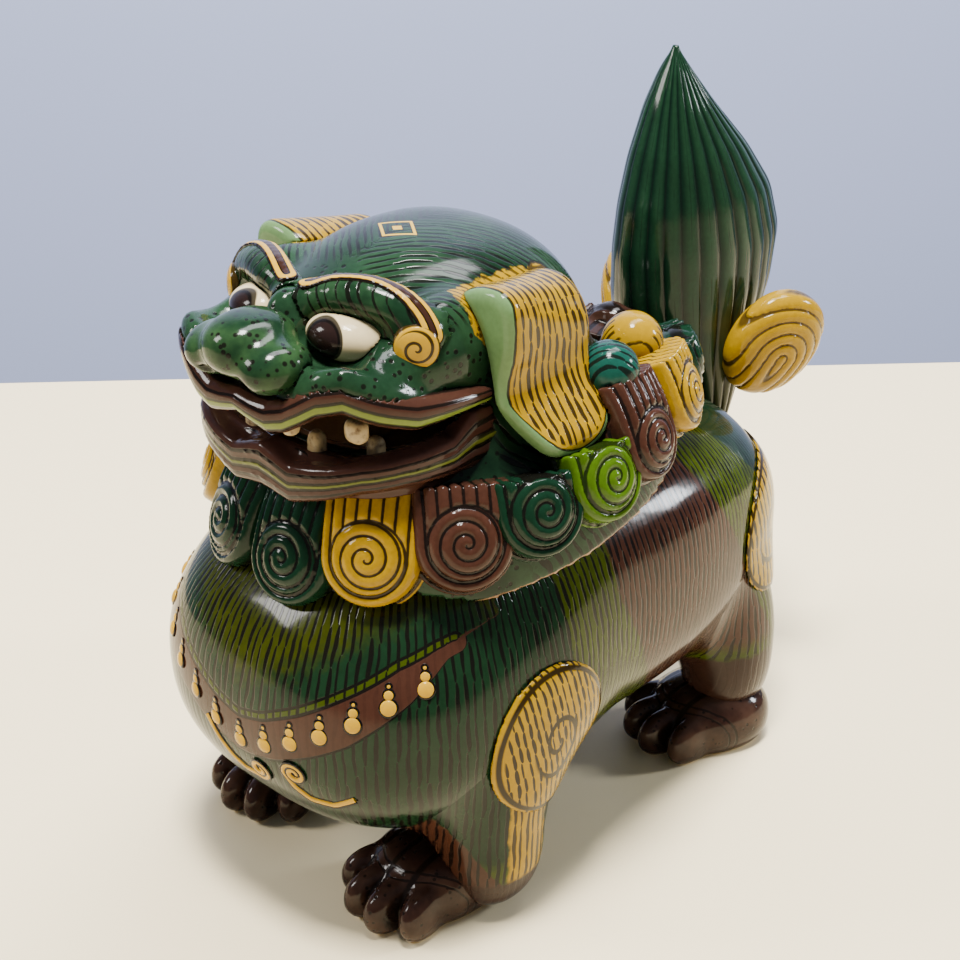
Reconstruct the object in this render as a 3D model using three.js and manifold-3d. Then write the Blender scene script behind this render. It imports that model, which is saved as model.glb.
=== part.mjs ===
// A lidded porcelain incense burner in the shape of a guardian lion.
// Millimetres, +Z up, the lion faces -Y, its left side is +X, and it stands on Z = 0.
// Sizes are laid out from the middle of the neck's length; the finished group is then moved
// along Y so that the origin is on the floor, under the middle of the whole piece.
// The belly is a hollow pot with a round neck. The head and its skirt of mane curls are the lid.
// Legs, paws, tail, ears, brows, teeth and curls are pressed clay pieces luted to those two shells.
import * as THREE from 'three';
import { mergeVertices } from 'three/addons/utils/BufferGeometryUtils.js';
import Module from 'manifold-3d';

const wasm = await Module();
wasm.setup();

// ---- driving dimensions ----
const HEIGHT = 200;              // floor to the tip of the tail
const GAP = 0.3;                 // luting line between two pieces
const POT_WALL = 5;
const LID_WALL = 4;
const BELLY = { at: [0, -2, 69], half: [54, 88, 44], plan: 2.9, section: 2.5, detail: [32, 16] };
const CHEST = { at: [0, -46, 60], half: [56, 53, 40], plan: 2.6, section: 2.3, detail: [28, 12] };
const NECK = { y: -16, halfX: 33, halfY: 36 };           // mouth of the pot
const SKIRT = { at: [0, -18, 99], half: [55, 63, 40], plan: 2.1, section: 2.1, detail: [28, 12] };
const SKULL = { at: [0, -30, 136], half: [38, 42, 37], plan: 2.3, section: 2.2, detail: [24, 12] };
const MUZZLE = { at: [0, -62, 150.5], half: [34, 27, 9.5], plan: 2.4, section: 2.4, detail: [20, 8] };
const RIM = { y: -82, z: 88, slope: 0.21 };              // lower edge of the skirt, rising to the back
const MOUTH = { bottom: 137.6, top: 143.6, halfX: 28, front: -104, back: -44 };
const SMALL = [12, 6];           // facets round and over a small pressed piece

// ---- glaze colours ----
const GREEN = { color: 0x1f4a38, roughness: 0.18, metalness: 0 };
const OLIVE = { color: 0x5f7820, roughness: 0.18, metalness: 0 };
const AUBERGINE = { color: 0x5c3f3a, roughness: 0.18, metalness: 0 };
const YELLOW = { color: 0xc9a02b, roughness: 0.18, metalness: 0 };
const BROWN = { color: 0x3c2c29, roughness: 0.2, metalness: 0 };
const CREAM = { color: 0xd8c79a, roughness: 0.2, metalness: 0 };
const BISCUIT = { color: 0xd9cdb6, roughness: 0.7, metalness: 0 };

// ---- solids ----
function toSolid(geometry) {
  const bare = geometry.clone();
  bare.deleteAttribute('normal');
  bare.deleteAttribute('uv');
  const welded = mergeVertices(bare, 1e-4);
  return new wasm.Manifold(new wasm.Mesh({
    numProp: 3,
    vertProperties: new Float32Array(welded.attributes.position.array),
    triVerts: new Uint32Array(welded.index.array),
  }));
}

function toGeometry(solid) {
  const mesh = solid.getMesh();
  const geometry = new THREE.BufferGeometry();
  geometry.setAttribute('position', new THREE.BufferAttribute(mesh.vertProperties, 3));
  geometry.setIndex(new THREE.BufferAttribute(mesh.triVerts, 1));
  geometry.computeVertexNormals();
  return geometry;
}

// A pressed clay lump: a ball squared up by its plan and section exponents (2 is a true ellipsoid).
// turn is about Z, lean about X and roll about Y, in degrees; grow swells it for a luting gap.
function lump({ at, half, plan = 2, section = 2, detail = SMALL, turn = 0, lean = 0, roll = 0 }, grow = 0) {
  const ball = new THREE.SphereGeometry(1, detail[0], detail[1]);
  ball.rotateX(Math.PI / 2);
  const point = new THREE.Vector3();
  const places = ball.attributes.position;
  for (let i = 0; i < places.count; i += 1) {
    point.fromBufferAttribute(places, i);
    const flat = (Math.abs(point.x) ** plan + Math.abs(point.y) ** plan) ** (1 / plan);
    const reach = (flat ** section + Math.abs(point.z) ** section) ** (1 / section);
    point.divideScalar(reach);
    places.setXYZ(i, point.x * (half[0] + grow), point.y * (half[1] + grow), point.z * (half[2] + grow));
  }
  ball.rotateY(THREE.MathUtils.degToRad(roll));
  ball.rotateX(THREE.MathUtils.degToRad(lean));
  ball.rotateZ(THREE.MathUtils.degToRad(turn));
  ball.translate(...at);
  return toSolid(ball);
}

function block(low, high) {
  const size = high.map((value, axis) => value - low[axis]);
  const box = new THREE.BoxGeometry(...size);
  box.translate(...low.map((value, axis) => value + size[axis] / 2));
  return toSolid(box);
}

function mirrored(spec, side) {
  return {
    ...spec,
    at: [spec.at[0] * side, spec.at[1], spec.at[2]],
    turn: (spec.turn ?? 0) * side,
    roll: (spec.roll ?? 0) * side,
  };
}

const thinned = (spec, wall) => ({ ...spec, half: spec.half.map((value) => value - wall) });
const potForm = (grow = 0) => lump(BELLY, grow).add(lump(CHEST, grow));
const trimmed = (solid, neighbours) => neighbours.reduce((left, other) => left.subtract(other), solid);
const luted = (spec, ...specs) => trimmed(lump(spec), specs.map((other) => lump(other, GAP)));

// A solid can break into crumbs where a cut grazes it; the piece is its largest part.
function largest(solid) {
  return solid.decompose().reduce((best, part) => (part.volume() > best.volume() ? part : best));
}

const group = new THREE.Group();

function place(name, solid, glaze) {
  const mesh = new THREE.Mesh(toGeometry(largest(solid)), new THREE.MeshStandardMaterial(glaze));
  mesh.name = name;
  group.add(mesh);
}

// ---- the pot ----
const neckTube = (halfX, halfY, low, high) => {
  const tube = new THREE.CylinderGeometry(1, 1, high - low, 40);
  tube.rotateX(Math.PI / 2);
  tube.scale(halfX, halfY, 1);
  tube.translate(0, NECK.y, (low + high) / 2);
  return toSolid(tube);
};

function pot() {
  const inward = (spec) => lump({ ...thinned(spec, POT_WALL), detail: [24, 10] });
  const top = BELLY.at[2] + BELLY.half[2];
  return potForm().subtract(inward(BELLY).add(inward(CHEST)))
    .subtract(neckTube(NECK.halfX, NECK.halfY, top - 25, top + 10));
}

// ---- legs and paws ----
const LEGS = {
  front: {
    leg: { at: [41, -50, 27], half: [13, 14, 21], section: 2.4 },
    paw: { at: [33, -54, 8], half: [17, 20, 12], plan: 2.3, turn: -8 },
  },
  rear: {
    leg: { at: [39, 57, 27], half: [13, 15, 22], section: 2.4 },
    paw: { at: [38, 52, 8], half: [16, 19, 12], plan: 2.3, turn: -22 },
  },
};
const STRIDE = { front: 4, rear: 0 };     // the left forefoot stands this far ahead of the middle
const TOES = 4;
const TOE_HALF = [4.6, 7, 6.5];

function paw(spec, side) {
  const pad = mirrored(spec, side);
  const facing = THREE.MathUtils.degToRad(pad.turn);
  let solid = lump(pad);
  for (let toe = 0; toe < TOES; toe += 1) {
    const across = (toe - (TOES - 1) / 2) * 8.2;
    const ahead = -pad.half[1] + 4.5 + 0.035 * across * across;
    const at = [
      pad.at[0] + across * Math.cos(facing) - ahead * Math.sin(facing),
      pad.at[1] + across * Math.sin(facing) + ahead * Math.cos(facing),
      6,
    ];
    solid = solid.add(lump({ at, half: TOE_HALF, turn: pad.turn, detail: [8, 4] }));
  }
  return solid.subtract(block([-90, -120, -20], [90, 120, 0]));
}

function legsAndPaws(side, hand) {
  const bellyGap = potForm(GAP);
  for (const [end, { leg, paw: level }] of Object.entries(LEGS)) {
    const step = STRIDE[end] * side;
    const pad = { ...level, at: [level.at[0] - step * 0.8, level.at[1] - step, level.at[2]] };
    const foot = paw(pad, side).subtract(bellyGap);
    const footGap = paw({ ...pad, half: pad.half.map((value) => value + GAP) }, side);
    place(`${end}_paw_${hand}`, foot, BROWN);
    place(`${end}_leg_${hand}`, trimmed(lump(mirrored(leg, side)), [bellyGap, footGap]), GREEN);
  }
}

// ---- curls on the shoulders, haunches and tail ----
const SHOULDER_CURL = { at: [53, -43, 50], half: [9, 15, 20], plan: 2.2, turn: 8, roll: 6 };
const HAUNCH_CURL = { at: [43, 63, 70], half: [7, 14, 19], plan: 2.2, turn: -30 };
const TAIL_CURL = { at: [24, 92, 114], half: [8, 14, 18], plan: 2.2, turn: -18, roll: 16, lean: -16 };

function bodyCurls(side, hand) {
  const legs = Object.values(LEGS).map(({ leg }) => mirrored(leg, side));
  place(`shoulder_curl_${hand}`, luted(mirrored(SHOULDER_CURL, side), BELLY, CHEST, ...legs), YELLOW);
  place(`haunch_curl_${hand}`, luted(mirrored(HAUNCH_CURL, side), BELLY, ...legs), YELLOW);
  const curl = luted(mirrored(TAIL_CURL, side), BELLY).subtract(tailPlume(GAP));
  place(`tail_curl_${hand}`, curl, YELLOW);
}

// ---- tail: a flame-shaped plume, flat from side to side, standing on the rump ----
function tailPlume(grow = 0) {
  const foot = 84;
  const front = new THREE.SplineCurve([
    new THREE.Vector2(76, 0), new THREE.Vector2(62, 0.22), new THREE.Vector2(54, 0.55),
    new THREE.Vector2(60, 0.84), new THREE.Vector2(68, 1),
  ]);
  const back = new THREE.SplineCurve([
    new THREE.Vector2(94, 0), new THREE.Vector2(107, 0.2), new THREE.Vector2(115, 0.46),
    new THREE.Vector2(106, 0.66), new THREE.Vector2(86, 0.86), new THREE.Vector2(70, 1),
  ]);
  const form = new THREE.SphereGeometry(1, 16, 14);
  form.rotateX(Math.PI / 2);
  const point = new THREE.Vector3();
  const places = form.attributes.position;
  for (let i = 0; i < places.count; i += 1) {
    point.fromBufferAttribute(places, i);
    const rise = (1 - Math.acos(THREE.MathUtils.clamp(point.z, -1, 1)) / Math.PI);
    const edge = Math.hypot(point.x, point.y) || 1;
    const near = front.getPoint(rise).x;
    const far = back.getPoint(rise).x;
    const fullness = Math.sin(Math.PI * Math.min(1, 0.12 + rise * 0.88)) ** 0.75;
    const halfDepth = (far - near) / 2 * Math.min(1, Math.hypot(point.x, point.y) * 4) + grow;
    const x = point.x / edge * (19 * fullness * Math.min(1, edge * 4) + grow);
    const y = (near + far) / 2 + point.y / edge * halfDepth;
    places.setXYZ(i, x, y, foot + rise * (HEIGHT - foot) + point.z * grow);
  }
  return toSolid(form);
}

// ---- the lid: skull, muzzle and skirt in one hollow shell ----
function skirtUnderside() {
  const half = 200;
  const cutter = new THREE.BoxGeometry(2 * half, 2 * half, half);
  cutter.translate(0, 0, -half / 2);
  cutter.rotateX(Math.atan(RIM.slope));
  cutter.translate(0, RIM.y, RIM.z);
  return toSolid(cutter);
}

function lidShell() {
  const outside = lump(SKULL).add(lump(SKIRT)).add(lump(MUZZLE));
  const inside = lump(thinned(SKULL, LID_WALL)).add(lump(thinned(SKIRT, LID_WALL)))
    .add(lump(thinned(MUZZLE, LID_WALL)));
  const gape = block([-MOUTH.halfX, MOUTH.front, MOUTH.bottom], [MOUTH.halfX, MOUTH.back, MOUTH.top]);
  return trimmed(outside, [inside, potForm(GAP), skirtUnderside(), gape]);
}

// The lid's locating flange: a brim on the pot's shoulder and a ring that drops into its neck.
function lidFlange() {
  const ring = neckTube(NECK.halfX - 2, NECK.halfY - 2, 102, 117);
  const brim = neckTube(NECK.halfX + 9, NECK.halfY + 9, 113.5, 117);
  const hole = neckTube(NECK.halfX - 6, NECK.halfY - 6, 95, 125);
  const lidSkin = lump(SKIRT, 5).subtract(lump(thinned(SKIRT, LID_WALL + GAP)));
  const shoulder = potForm(GAP).subtract(neckTube(NECK.halfX, NECK.halfY, 60, 130));
  return trimmed(ring.add(brim), [hole, shoulder, lidSkin]);
}

// ---- face ----
const NOSE = { at: [0, -84, 156.5], half: [15, 9, 8.5], plan: 2.3, detail: [14, 8] };
const EYE = { at: [15, -71, 157], half: [8, 8, 8] };
const BROW = { at: [15.5, -65, 166], half: [15, 7, 5.5], turn: 20, roll: 12 };
const LIP = { at: [0, -57, 149.5], half: [38, 35, 5.5], plan: 2.6, section: 2.6, detail: [24, 6] };
const JAW = { at: [0, -53, 129], half: [37, 32, 8.5], plan: 3, section: 3, detail: [24, 6] };
const LIP_WALL = 7;
const SKIN = [SKULL, MUZZLE, SKIRT];

function upperLip() {
  const throat = lump({ ...LIP, half: [LIP.half[0] - LIP_WALL, LIP.half[1] - LIP_WALL, 30], section: 6 });
  return trimmed(lump(LIP), [throat, ...SKIN.map((spec) => lump(spec, GAP)), lump(NOSE, GAP)]);
}

function lowerJaw() {
  const floor = JAW.at[2] - 2;
  const tray = lump({ ...JAW, at: [0, JAW.at[1], floor + 30], half: [30, 25, 30], plan: 3, section: 8 });
  return trimmed(lump(JAW), [tray, lump(SKULL, GAP), lump(SKIRT, GAP), lump(MUZZLE, GAP)]);
}

function tooth(x, y, low, high, radius, tipRadius) {
  const crown = new THREE.CylinderGeometry(Math.max(radius, 0), tipRadius, high - low, 8);
  crown.rotateX(Math.PI / 2);
  crown.translate(x, y, (low + high) / 2);
  return toSolid(crown);
}

function teeth(side, hand) {
  const lipGap = lump(LIP, GAP);
  const jawGap = lump(JAW, GAP);
  const upper = [{ name: 'upper_canine', x: 12, y: -87.5 }, { name: 'upper_side_tooth', x: 27, y: -79 }];
  const lower = [{ name: 'lower_fang', x: 13, y: -80.5 }, { name: 'lower_side_fang', x: 27, y: -72 }];
  for (const { name, x, y } of upper) {
    place(`${name}_${hand}`, tooth(side * x, y, 138.5, 147, 2.6, 1.4).subtract(lipGap), CREAM);
  }
  for (const { name, x, y } of lower) {
    place(`${name}_${hand}`, tooth(side * x, y, 129, 142, 2, 3.2).subtract(jawGap), CREAM);
  }
}

function browsAndEyes(side, hand) {
  const brow = mirrored(BROW, side);
  place(`eye_${hand}`, luted(mirrored(EYE, side), MUZZLE, SKULL, brow, NOSE), CREAM);
  const middle = block([-side * 60, -120, 100].map((v, i) => (i ? v : Math.min(v, side * GAP))),
    [Math.max(-side * 60, side * GAP), 0, 220]);
  place(`brow_${hand}`, luted(brow, MUZZLE, SKULL, NOSE).subtract(middle), GREEN);
}

// An ear is a thick leaf that leaves the skull level, rolls over and hangs, with its tip kicked out.
const EAR = { thickness: 5, front: -47, back: -17 };

function ear(side) {
  const spine = new THREE.CatmullRomCurve3([
    new THREE.Vector3(24, 0, 163), new THREE.Vector3(35, 0, 166), new THREE.Vector3(42.5, 0, 161),
    new THREE.Vector3(43, 0, 150), new THREE.Vector3(44, 0, 139), new THREE.Vector3(50, 0, 127),
  ]);
  const steps = 10;
  const outline = new THREE.Shape();
  const rows = [1, -1].map((face) => spine.getPoints(steps).map((point, i) => {
    const along = spine.getTangent(i / steps);
    const reach = face * EAR.thickness / 2;
    return new THREE.Vector2(point.x - along.z * reach, point.z + along.x * reach);
  }));
  outline.setFromPoints([...rows[0], ...rows[1].reverse()]);
  const leaf = new THREE.ExtrudeGeometry(outline, { depth: EAR.back - EAR.front, bevelEnabled: false });
  leaf.rotateX(Math.PI / 2);
  leaf.translate(0, EAR.back, 0);
  let solid = toSolid(leaf);
  if (side < 0) {
    solid = solid.mirror([1, 0, 0]);
  }
  return trimmed(solid, [lump(SKULL, GAP), lump(SKIRT, GAP)]);
}

// ---- mane curls: tongues of clay round the skirt, each with its flat face to the slope ----
// The lid was dressed by hand, so the curls are not quite evenly spaced: degrees from the front,
// height of the coiled end, size.
const MANE = {
  left: [[28, 107, 1], [49, 111, 1], [66, 116, 0.96], [83, 119.5, 0.93], [98, 124, 0.88], [118, 128, 0.86],
    [142, 129, 0.86]],
  right: [[-18, 103, 1], [-41, 109, 1], [-60, 113.5, 0.96], [-79, 118.5, 0.93], [-98, 124, 0.88],
    [-119, 128, 0.86], [-142, 129, 0.86]],
};

function maneRing() {
  const curls = [{ name: 'mane_curl_front', place: [7, 102.5, 1] }];
  for (const i of MANE.left.keys()) {
    for (const hand of ['left', 'right']) {
      curls.push({ name: `mane_curl_${i + 1}_${hand}`, place: MANE[hand][i] });
    }
  }
  curls.push({ name: 'mane_curl_back', place: [180, 129, 0.9] });
  return curls;
}

function curlSpec([around, height, size]) {
  const angle = THREE.MathUtils.degToRad(around);
  const x = 53 * Math.sin(angle);
  const y = SKIRT.at[1] - 62 * Math.cos(angle);
  const outward = THREE.MathUtils.radToDeg(Math.atan2((y - SKIRT.at[1]) / 62 ** 2, x / 53 ** 2)) + 90;
  return {
    at: [x, y, height + 3], half: [13.5 * size, 7 * size, 15 * size], plan: 2.4, turn: outward, lean: -24,
  };
}

function maneCurls() {
  const face = [BELLY, CHEST, SKIRT, SKULL, JAW];
  const ears = [ear(1), ear(-1)].map((leaf) => leaf.minkowskiSum(toSolid(new THREE.BoxGeometry(GAP, GAP, GAP))));
  const specs = maneRing().map(({ name, place: spot }) => ({ name, spec: curlSpec(spot) }));
  const glazes = [GREEN, YELLOW, GREEN, AUBERGINE, YELLOW, GREEN, GREEN, OLIVE, OLIVE, AUBERGINE, AUBERGINE,
    YELLOW, YELLOW, GREEN, GREEN, BROWN];
  specs.forEach(({ name, spec }, i) => {
    const earlier = specs.slice(0, i).map((other) => other.spec);
    place(name, trimmed(luted(spec, ...face, ...earlier), ears), glazes[i]);
  });
}

// ---- assembly ----
place('belly_pot', pot(), GREEN);
place('tail_plume', tailPlume().subtract(lump(BELLY, GAP)), GREEN);
place('lid_shell', lidShell(), GREEN);
place('lid_flange', lidFlange(), BISCUIT);
place('nose', luted(NOSE, MUZZLE), GREEN);
place('upper_lip', upperLip(), AUBERGINE);
place('lower_jaw', lowerJaw(), AUBERGINE);
for (const [side, hand] of [[1, 'left'], [-1, 'right']]) {
  legsAndPaws(side, hand);
  bodyCurls(side, hand);
  browsAndEyes(side, hand);
  teeth(side, hand);
  place(`ear_${hand}`, ear(side), YELLOW);
}
maneCurls();

const reach = new THREE.Box3().setFromObject(group);
group.position.y = -(reach.min.y + reach.max.y) / 2;

export default group;
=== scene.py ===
import math
import bpy
import numpy as np
import openvdb
from mathutils import Matrix, Vector


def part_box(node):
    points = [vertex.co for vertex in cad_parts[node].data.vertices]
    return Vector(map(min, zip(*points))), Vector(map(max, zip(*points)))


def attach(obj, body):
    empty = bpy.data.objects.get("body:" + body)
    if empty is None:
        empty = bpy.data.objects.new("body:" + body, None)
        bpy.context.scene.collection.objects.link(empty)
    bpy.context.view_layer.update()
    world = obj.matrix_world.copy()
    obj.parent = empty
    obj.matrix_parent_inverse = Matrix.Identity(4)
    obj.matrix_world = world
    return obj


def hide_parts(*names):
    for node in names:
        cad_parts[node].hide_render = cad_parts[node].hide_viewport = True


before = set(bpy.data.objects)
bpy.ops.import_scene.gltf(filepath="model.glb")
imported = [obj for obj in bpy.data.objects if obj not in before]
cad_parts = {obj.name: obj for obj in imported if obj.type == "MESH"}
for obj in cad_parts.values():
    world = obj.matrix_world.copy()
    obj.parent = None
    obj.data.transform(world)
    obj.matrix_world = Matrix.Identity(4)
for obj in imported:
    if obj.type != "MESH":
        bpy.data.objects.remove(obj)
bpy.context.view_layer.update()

# ---------------------------------------------------------------------------------------------
# The belly pot. A hollow porcelain barrel, pressed in a mould with an open neck on top and painted
# in enamels. Sizes are millimetres from the lion's own zero, 86 mm ahead of the pot's rear end,
# and every solid here is a field of distances that is turned into a skin.
# ---------------------------------------------------------------------------------------------
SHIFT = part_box("belly_pot")[1].y * 1000 - 86


def where(node):
    """Middle and half size of a piece of the frame, in the lion's millimetres."""
    low, high = (np.array(corner) * 1000 - (0, SHIFT, 0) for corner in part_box(node))
    return (low + high) / 2, (high - low) / 2


def melt(a, b, radius):
    """Join two distances with a soft fillet of clay between them."""
    near = np.maximum(radius - np.abs(a - b), 0) / radius
    return np.minimum(a, b) - near * near * radius / 4


def ball(x, y, z, at, half, plan=2.0, section=2.0):
    """Distance to an ellipsoid, squared up by its plan and section exponents (2 leaves it round)."""
    x, y, z = x - at[0], y - at[1], z - at[2]
    flat = (np.abs(x / half[0]) ** plan + np.abs(y / half[1]) ** plan) ** (section / plan)
    reach = np.maximum((flat + np.abs(z / half[2]) ** section) ** (1 / section), 1e-3)
    return np.sqrt(x * x + y * y + z * z + 1e-6) * (1 - 1 / reach)


def turned(x, y, z, at, turn=0.0, lean=0.0, roll=0.0):
    """Coordinates in a piece's own axes: roll about Y first, then lean about X, then turn about Z."""
    x, y, z = x - at[0], y - at[1], z - at[2]
    c, s = math.cos(math.radians(turn)), math.sin(math.radians(turn))
    x, y = c * x + s * y, c * y - s * x
    c, s = math.cos(math.radians(lean)), math.sin(math.radians(lean))
    y, z = c * y + s * z, c * z - s * y
    c, s = math.cos(math.radians(roll)), math.sin(math.radians(roll))
    return c * x - s * z, y, c * z + s * x


def grid(low, high, step):
    counts = [int(math.ceil((h - l) / step)) + 1 for l, h in zip(low, high)]
    axes = [np.float32(l) + np.float32(step) * np.arange(n, dtype=np.float32) for l, n in zip(low, counts)]
    return np.meshgrid(*axes, indexing="ij", sparse=True)


def plain_mesh(name, points, faces):
    """A smooth mesh from points in the lion's millimetres, with its faces outward."""
    corners = points[faces]
    area = np.cross(corners[:, 2] - corners[:, 0], corners[:, 3] - corners[:, 1])
    if (area * corners.mean(1)).sum() < 0:
        faces = faces[:, ::-1]
    mesh = bpy.data.meshes.new(name)
    mesh.vertices.add(len(points))
    mesh.vertices.foreach_set("co", ((points + (0, SHIFT, 0)) / 1000).astype(np.float32).ravel())
    mesh.loops.add(faces.size)
    mesh.loops.foreach_set("vertex_index", np.ascontiguousarray(faces, np.int32).ravel())
    mesh.polygons.add(len(faces))
    mesh.polygons.foreach_set("loop_start", np.arange(len(faces), dtype=np.int32) * 4)
    mesh.polygons.foreach_set("use_smooth", np.ones(len(faces), bool))
    mesh.update(calc_edges=True)
    mesh.validate()
    return mesh


def skin(name, low, high, step, field):
    """The surface where a distance field over a block of space passes through nothing."""
    x, y, z = grid(low, high, step)
    values = np.broadcast_to(field(x, y, z), (x.size, y.size, z.size)).astype(np.float32).copy()
    for axis in range(3):
        edge = np.moveaxis(values, axis, 0)
        edge[0] = np.maximum(edge[0], 0.3)
        edge[-1] = np.maximum(edge[-1], 0.3)
    volume = openvdb.FloatGrid(9.0)
    volume.copyFromArray(np.clip(values, -4 * step, 4 * step))
    points, quads = volume.convertToQuads(0.0)
    return plain_mesh(name, points * step + np.array(low), quads)


def spots(mesh):
    """The mesh's points in the lion's millimetres, as x, y and z."""
    flat = np.empty(len(mesh.vertices) * 3, np.float32)
    mesh.vertices.foreach_get("co", flat)
    x, y, z = (flat.reshape(-1, 3) * 1000).T
    return x, y - np.float32(SHIFT), z


def note(mesh, **values):
    """Keep a number on every point of a mesh for its glaze to read."""
    for name, value in values.items():
        layer = mesh.attributes.new(name, "FLOAT", "POINT")
        layer.data.foreach_set("value", np.ascontiguousarray(value, np.float32))


def show(mesh, glaze, body, slot, *nodes):
    """Put a finished piece in the scene in place of its plain stand-ins, on the body it moves with."""
    piece = bpy.data.objects.new(mesh.name, mesh)
    bpy.context.scene.collection.objects.link(piece)
    if glaze:
        mesh.materials.append(glaze)
    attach(piece, body)
    if nodes:
        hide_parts(*nodes)
    return piece


class Wire:
    """A node socket that can be used in sums; each sum adds a Math node to its graph."""

    def __init__(self, graph, socket):
        self.graph, self.socket = graph, socket

    def do(self, operation, *values):
        return self.graph.node("ShaderNodeMath", {"operation": operation}, dict(enumerate(values)))

    def __add__(self, other):
        return self.do("ADD", self, other)

    def __sub__(self, other):
        return self.do("SUBTRACT", self, other)

    def __rsub__(self, other):
        return self.do("SUBTRACT", other, self)

    def __mul__(self, other):
        return self.do("MULTIPLY", self, other)

    def __truediv__(self, other):
        return self.do("DIVIDE", self, other)

    def __pow__(self, other):
        return self.do("POWER", self, other)

    def __abs__(self):
        return self.do("ABSOLUTE", self)

    __radd__ = __add__
    __rmul__ = __mul__

    def whole(self):
        return self.do("FLOOR", self)

    def part(self):
        return self.do("FRACT", self)

    def least(self, other):
        return self.do("MINIMUM", self, other)

    def most(self, other):
        return self.do("MAXIMUM", self, other)

    def turns(self, other):
        """Direction of the point (other, self) seen from the origin, in full turns."""
        return self.do("ARCTAN2", self, other) / 6.2832

    def ramp(self, low, high):
        """0 at low, 1 at high and smooth between; low may be the larger."""
        return self.graph.node("ShaderNodeMapRange", {"interpolation_type": "SMOOTHSTEP"},
                               {"Value": self, "From Min": low, "From Max": high})


class Graph:
    """A node tree that is written as a program."""

    def __init__(self, tree):
        self.tree = tree

    def feed(self, socket, value):
        if isinstance(value, Wire):
            self.tree.links.new(value.socket, socket)
        else:
            socket.default_value = value

    def node(self, kind, settings=(), inputs=(), out=0):
        made = self.tree.nodes.new(kind)
        for key, value in dict(settings).items():
            setattr(made, key, value)
        for key, value in dict(inputs).items():
            self.feed(made.inputs[key], value)
        return Wire(self, made.outputs[out])


def shade(red, green, blue):
    """A colour given as it looks on a screen, 0 to 255, as the light it sends back."""
    light = (((c / 255 + 0.055) / 1.055) ** 2.4 if c > 10 else c / 3295 for c in (red, green, blue))
    return (*light, 1.0)


class Glaze(Graph):
    """One fired finish. Its constants sit on the surface's own sockets."""

    def __init__(self, name, **constants):
        self.material = bpy.data.materials.new(name)
        self.material.use_nodes = True
        super().__init__(self.material.node_tree)
        self.surface = self.tree.nodes["Principled BSDF"]
        fired = {"Roughness": 0.13, "Coat Weight": 0.06, "Coat Roughness": 0.02, "IOR": 1.34,
                 "Specular IOR Level": 0.28, **constants}
        for key, value in fired.items():
            self.surface.inputs[key].default_value = value
        place = self.node("ShaderNodeTexCoord", out="Object")
        self.place = self.node("ShaderNodeVectorMath", {"operation": "SCALE"}, {0: place, "Scale": 1000.0})

    def give(self, socket, value):
        self.feed(self.surface.inputs[socket], value)

    def read(self, name):
        return self.node("ShaderNodeAttribute", {"attribute_name": name}, out="Fac")

    def cloud(self, scale, detail=2.0):
        """Slow random variation, 0 to 1, at a scale per millimetre."""
        return self.node("ShaderNodeTexNoise", {}, {"Vector": self.place, "Scale": scale, "Detail": detail})

    def chance(self, value):
        return self.node("ShaderNodeTexWhiteNoise", {"noise_dimensions": "1D"}, {"W": value})

    def mix(self, factor, under, over):
        return self.node("ShaderNodeMix", {"data_type": "RGBA"}, {0: factor, 6: under, 7: over}, 2)

    def enamel(self, colour, pooling=0.55):
        """Glaze as it fires: streaked, thin in places and darker where it has pooled."""
        depth = 1.0 + pooling * (1.1 * self.cloud(0.09, 3.0) + 0.9 * self.cloud(0.8, 2.0) - 1.0)
        grey = self.node("ShaderNodeCombineColor", {}, {0: depth, 1: depth, 2: depth})
        return self.node("ShaderNodeMix", {"data_type": "RGBA", "blend_type": "MULTIPLY"},
                         {0: 1.0, 6: colour, 7: grey}, 2)

    def mottle(self, scale, dark, light):
        """Two tones of one enamel that drift into each other."""
        return self.mix(self.cloud(scale, 3).ramp(0.3, 0.7), self.enamel(dark), self.enamel(light))

    def strokes(self, across, along, pitch=2.0, length=7.5, width=0.3):
        """Hand-drawn dashes in rows one pitch apart, each thin at its ends; 1 is ink."""
        lane = (across + 1.6 * self.cloud(0.11)) / pitch
        row = lane.whole()
        run = along / length + 9.0 * self.chance(row)
        dash = run.part()
        weight = self.chance(run.whole() + 17.3 * row)
        half = width * (0.6 + 0.7 * weight) * (4.0 * dash * (1.0 - dash)) ** 0.4
        off = abs(lane - row - 0.38 - 0.24 * weight) * pitch
        return (off - half).ramp(0.14, -0.06)

    def specks(self, scale=0.55, share=0.3):
        """Small black touches of the brush, scattered."""
        spot = self.node("ShaderNodeTexVoronoi", {},
                         {"Vector": self.place, "Scale": scale, "Randomness": 0.9})
        return (spot + 0.12 * self.cloud(0.3)).ramp(share + 0.05, share - 0.03)

    def gloss(self, height=0.0):
        """The faint waviness of a thick fired glaze, with any painted relief."""
        swell = 0.35 * self.cloud(0.12) + 0.05 * self.cloud(0.9) + height
        bump = self.node("ShaderNodeBump", {}, {"Strength": 0.35, "Distance": 0.0006, "Height": swell})
        self.give("Normal", bump)
        return self.material


INK = shade(14, 11, 9)
DARK_GREEN = shade(17, 40, 23)
OLIVE = shade(50, 62, 5)
AUBERGINE = shade(60, 36, 27)
YELLOW = shade(154, 120, 2)
CELADON = shade(92, 122, 78)
CREAM = shade(222, 203, 158)
BROWN = shade(44, 28, 23)


def belly(x, y, z):
    """Distance to the pot's outer skin: a long barrel with a deep chest melted onto its front."""
    barrel = ball(x, y, z, (0, -2, 69), (54, 88, 44), 2.9, 2.5)
    return melt(barrel, ball(x, y, z, (0, -46, 60), (54.5, 52, 39.5), 2.6, 2.3), 10)


def pot_clay(x, y, z):
    wall = belly(x, y, z)
    neck = np.hypot(x / 33, (y + 16) / 36) * 33 - 33 + 0 * z
    return np.maximum(wall, -melt(wall + 5, np.where(z > 80, neck, 50), 3))


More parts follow.
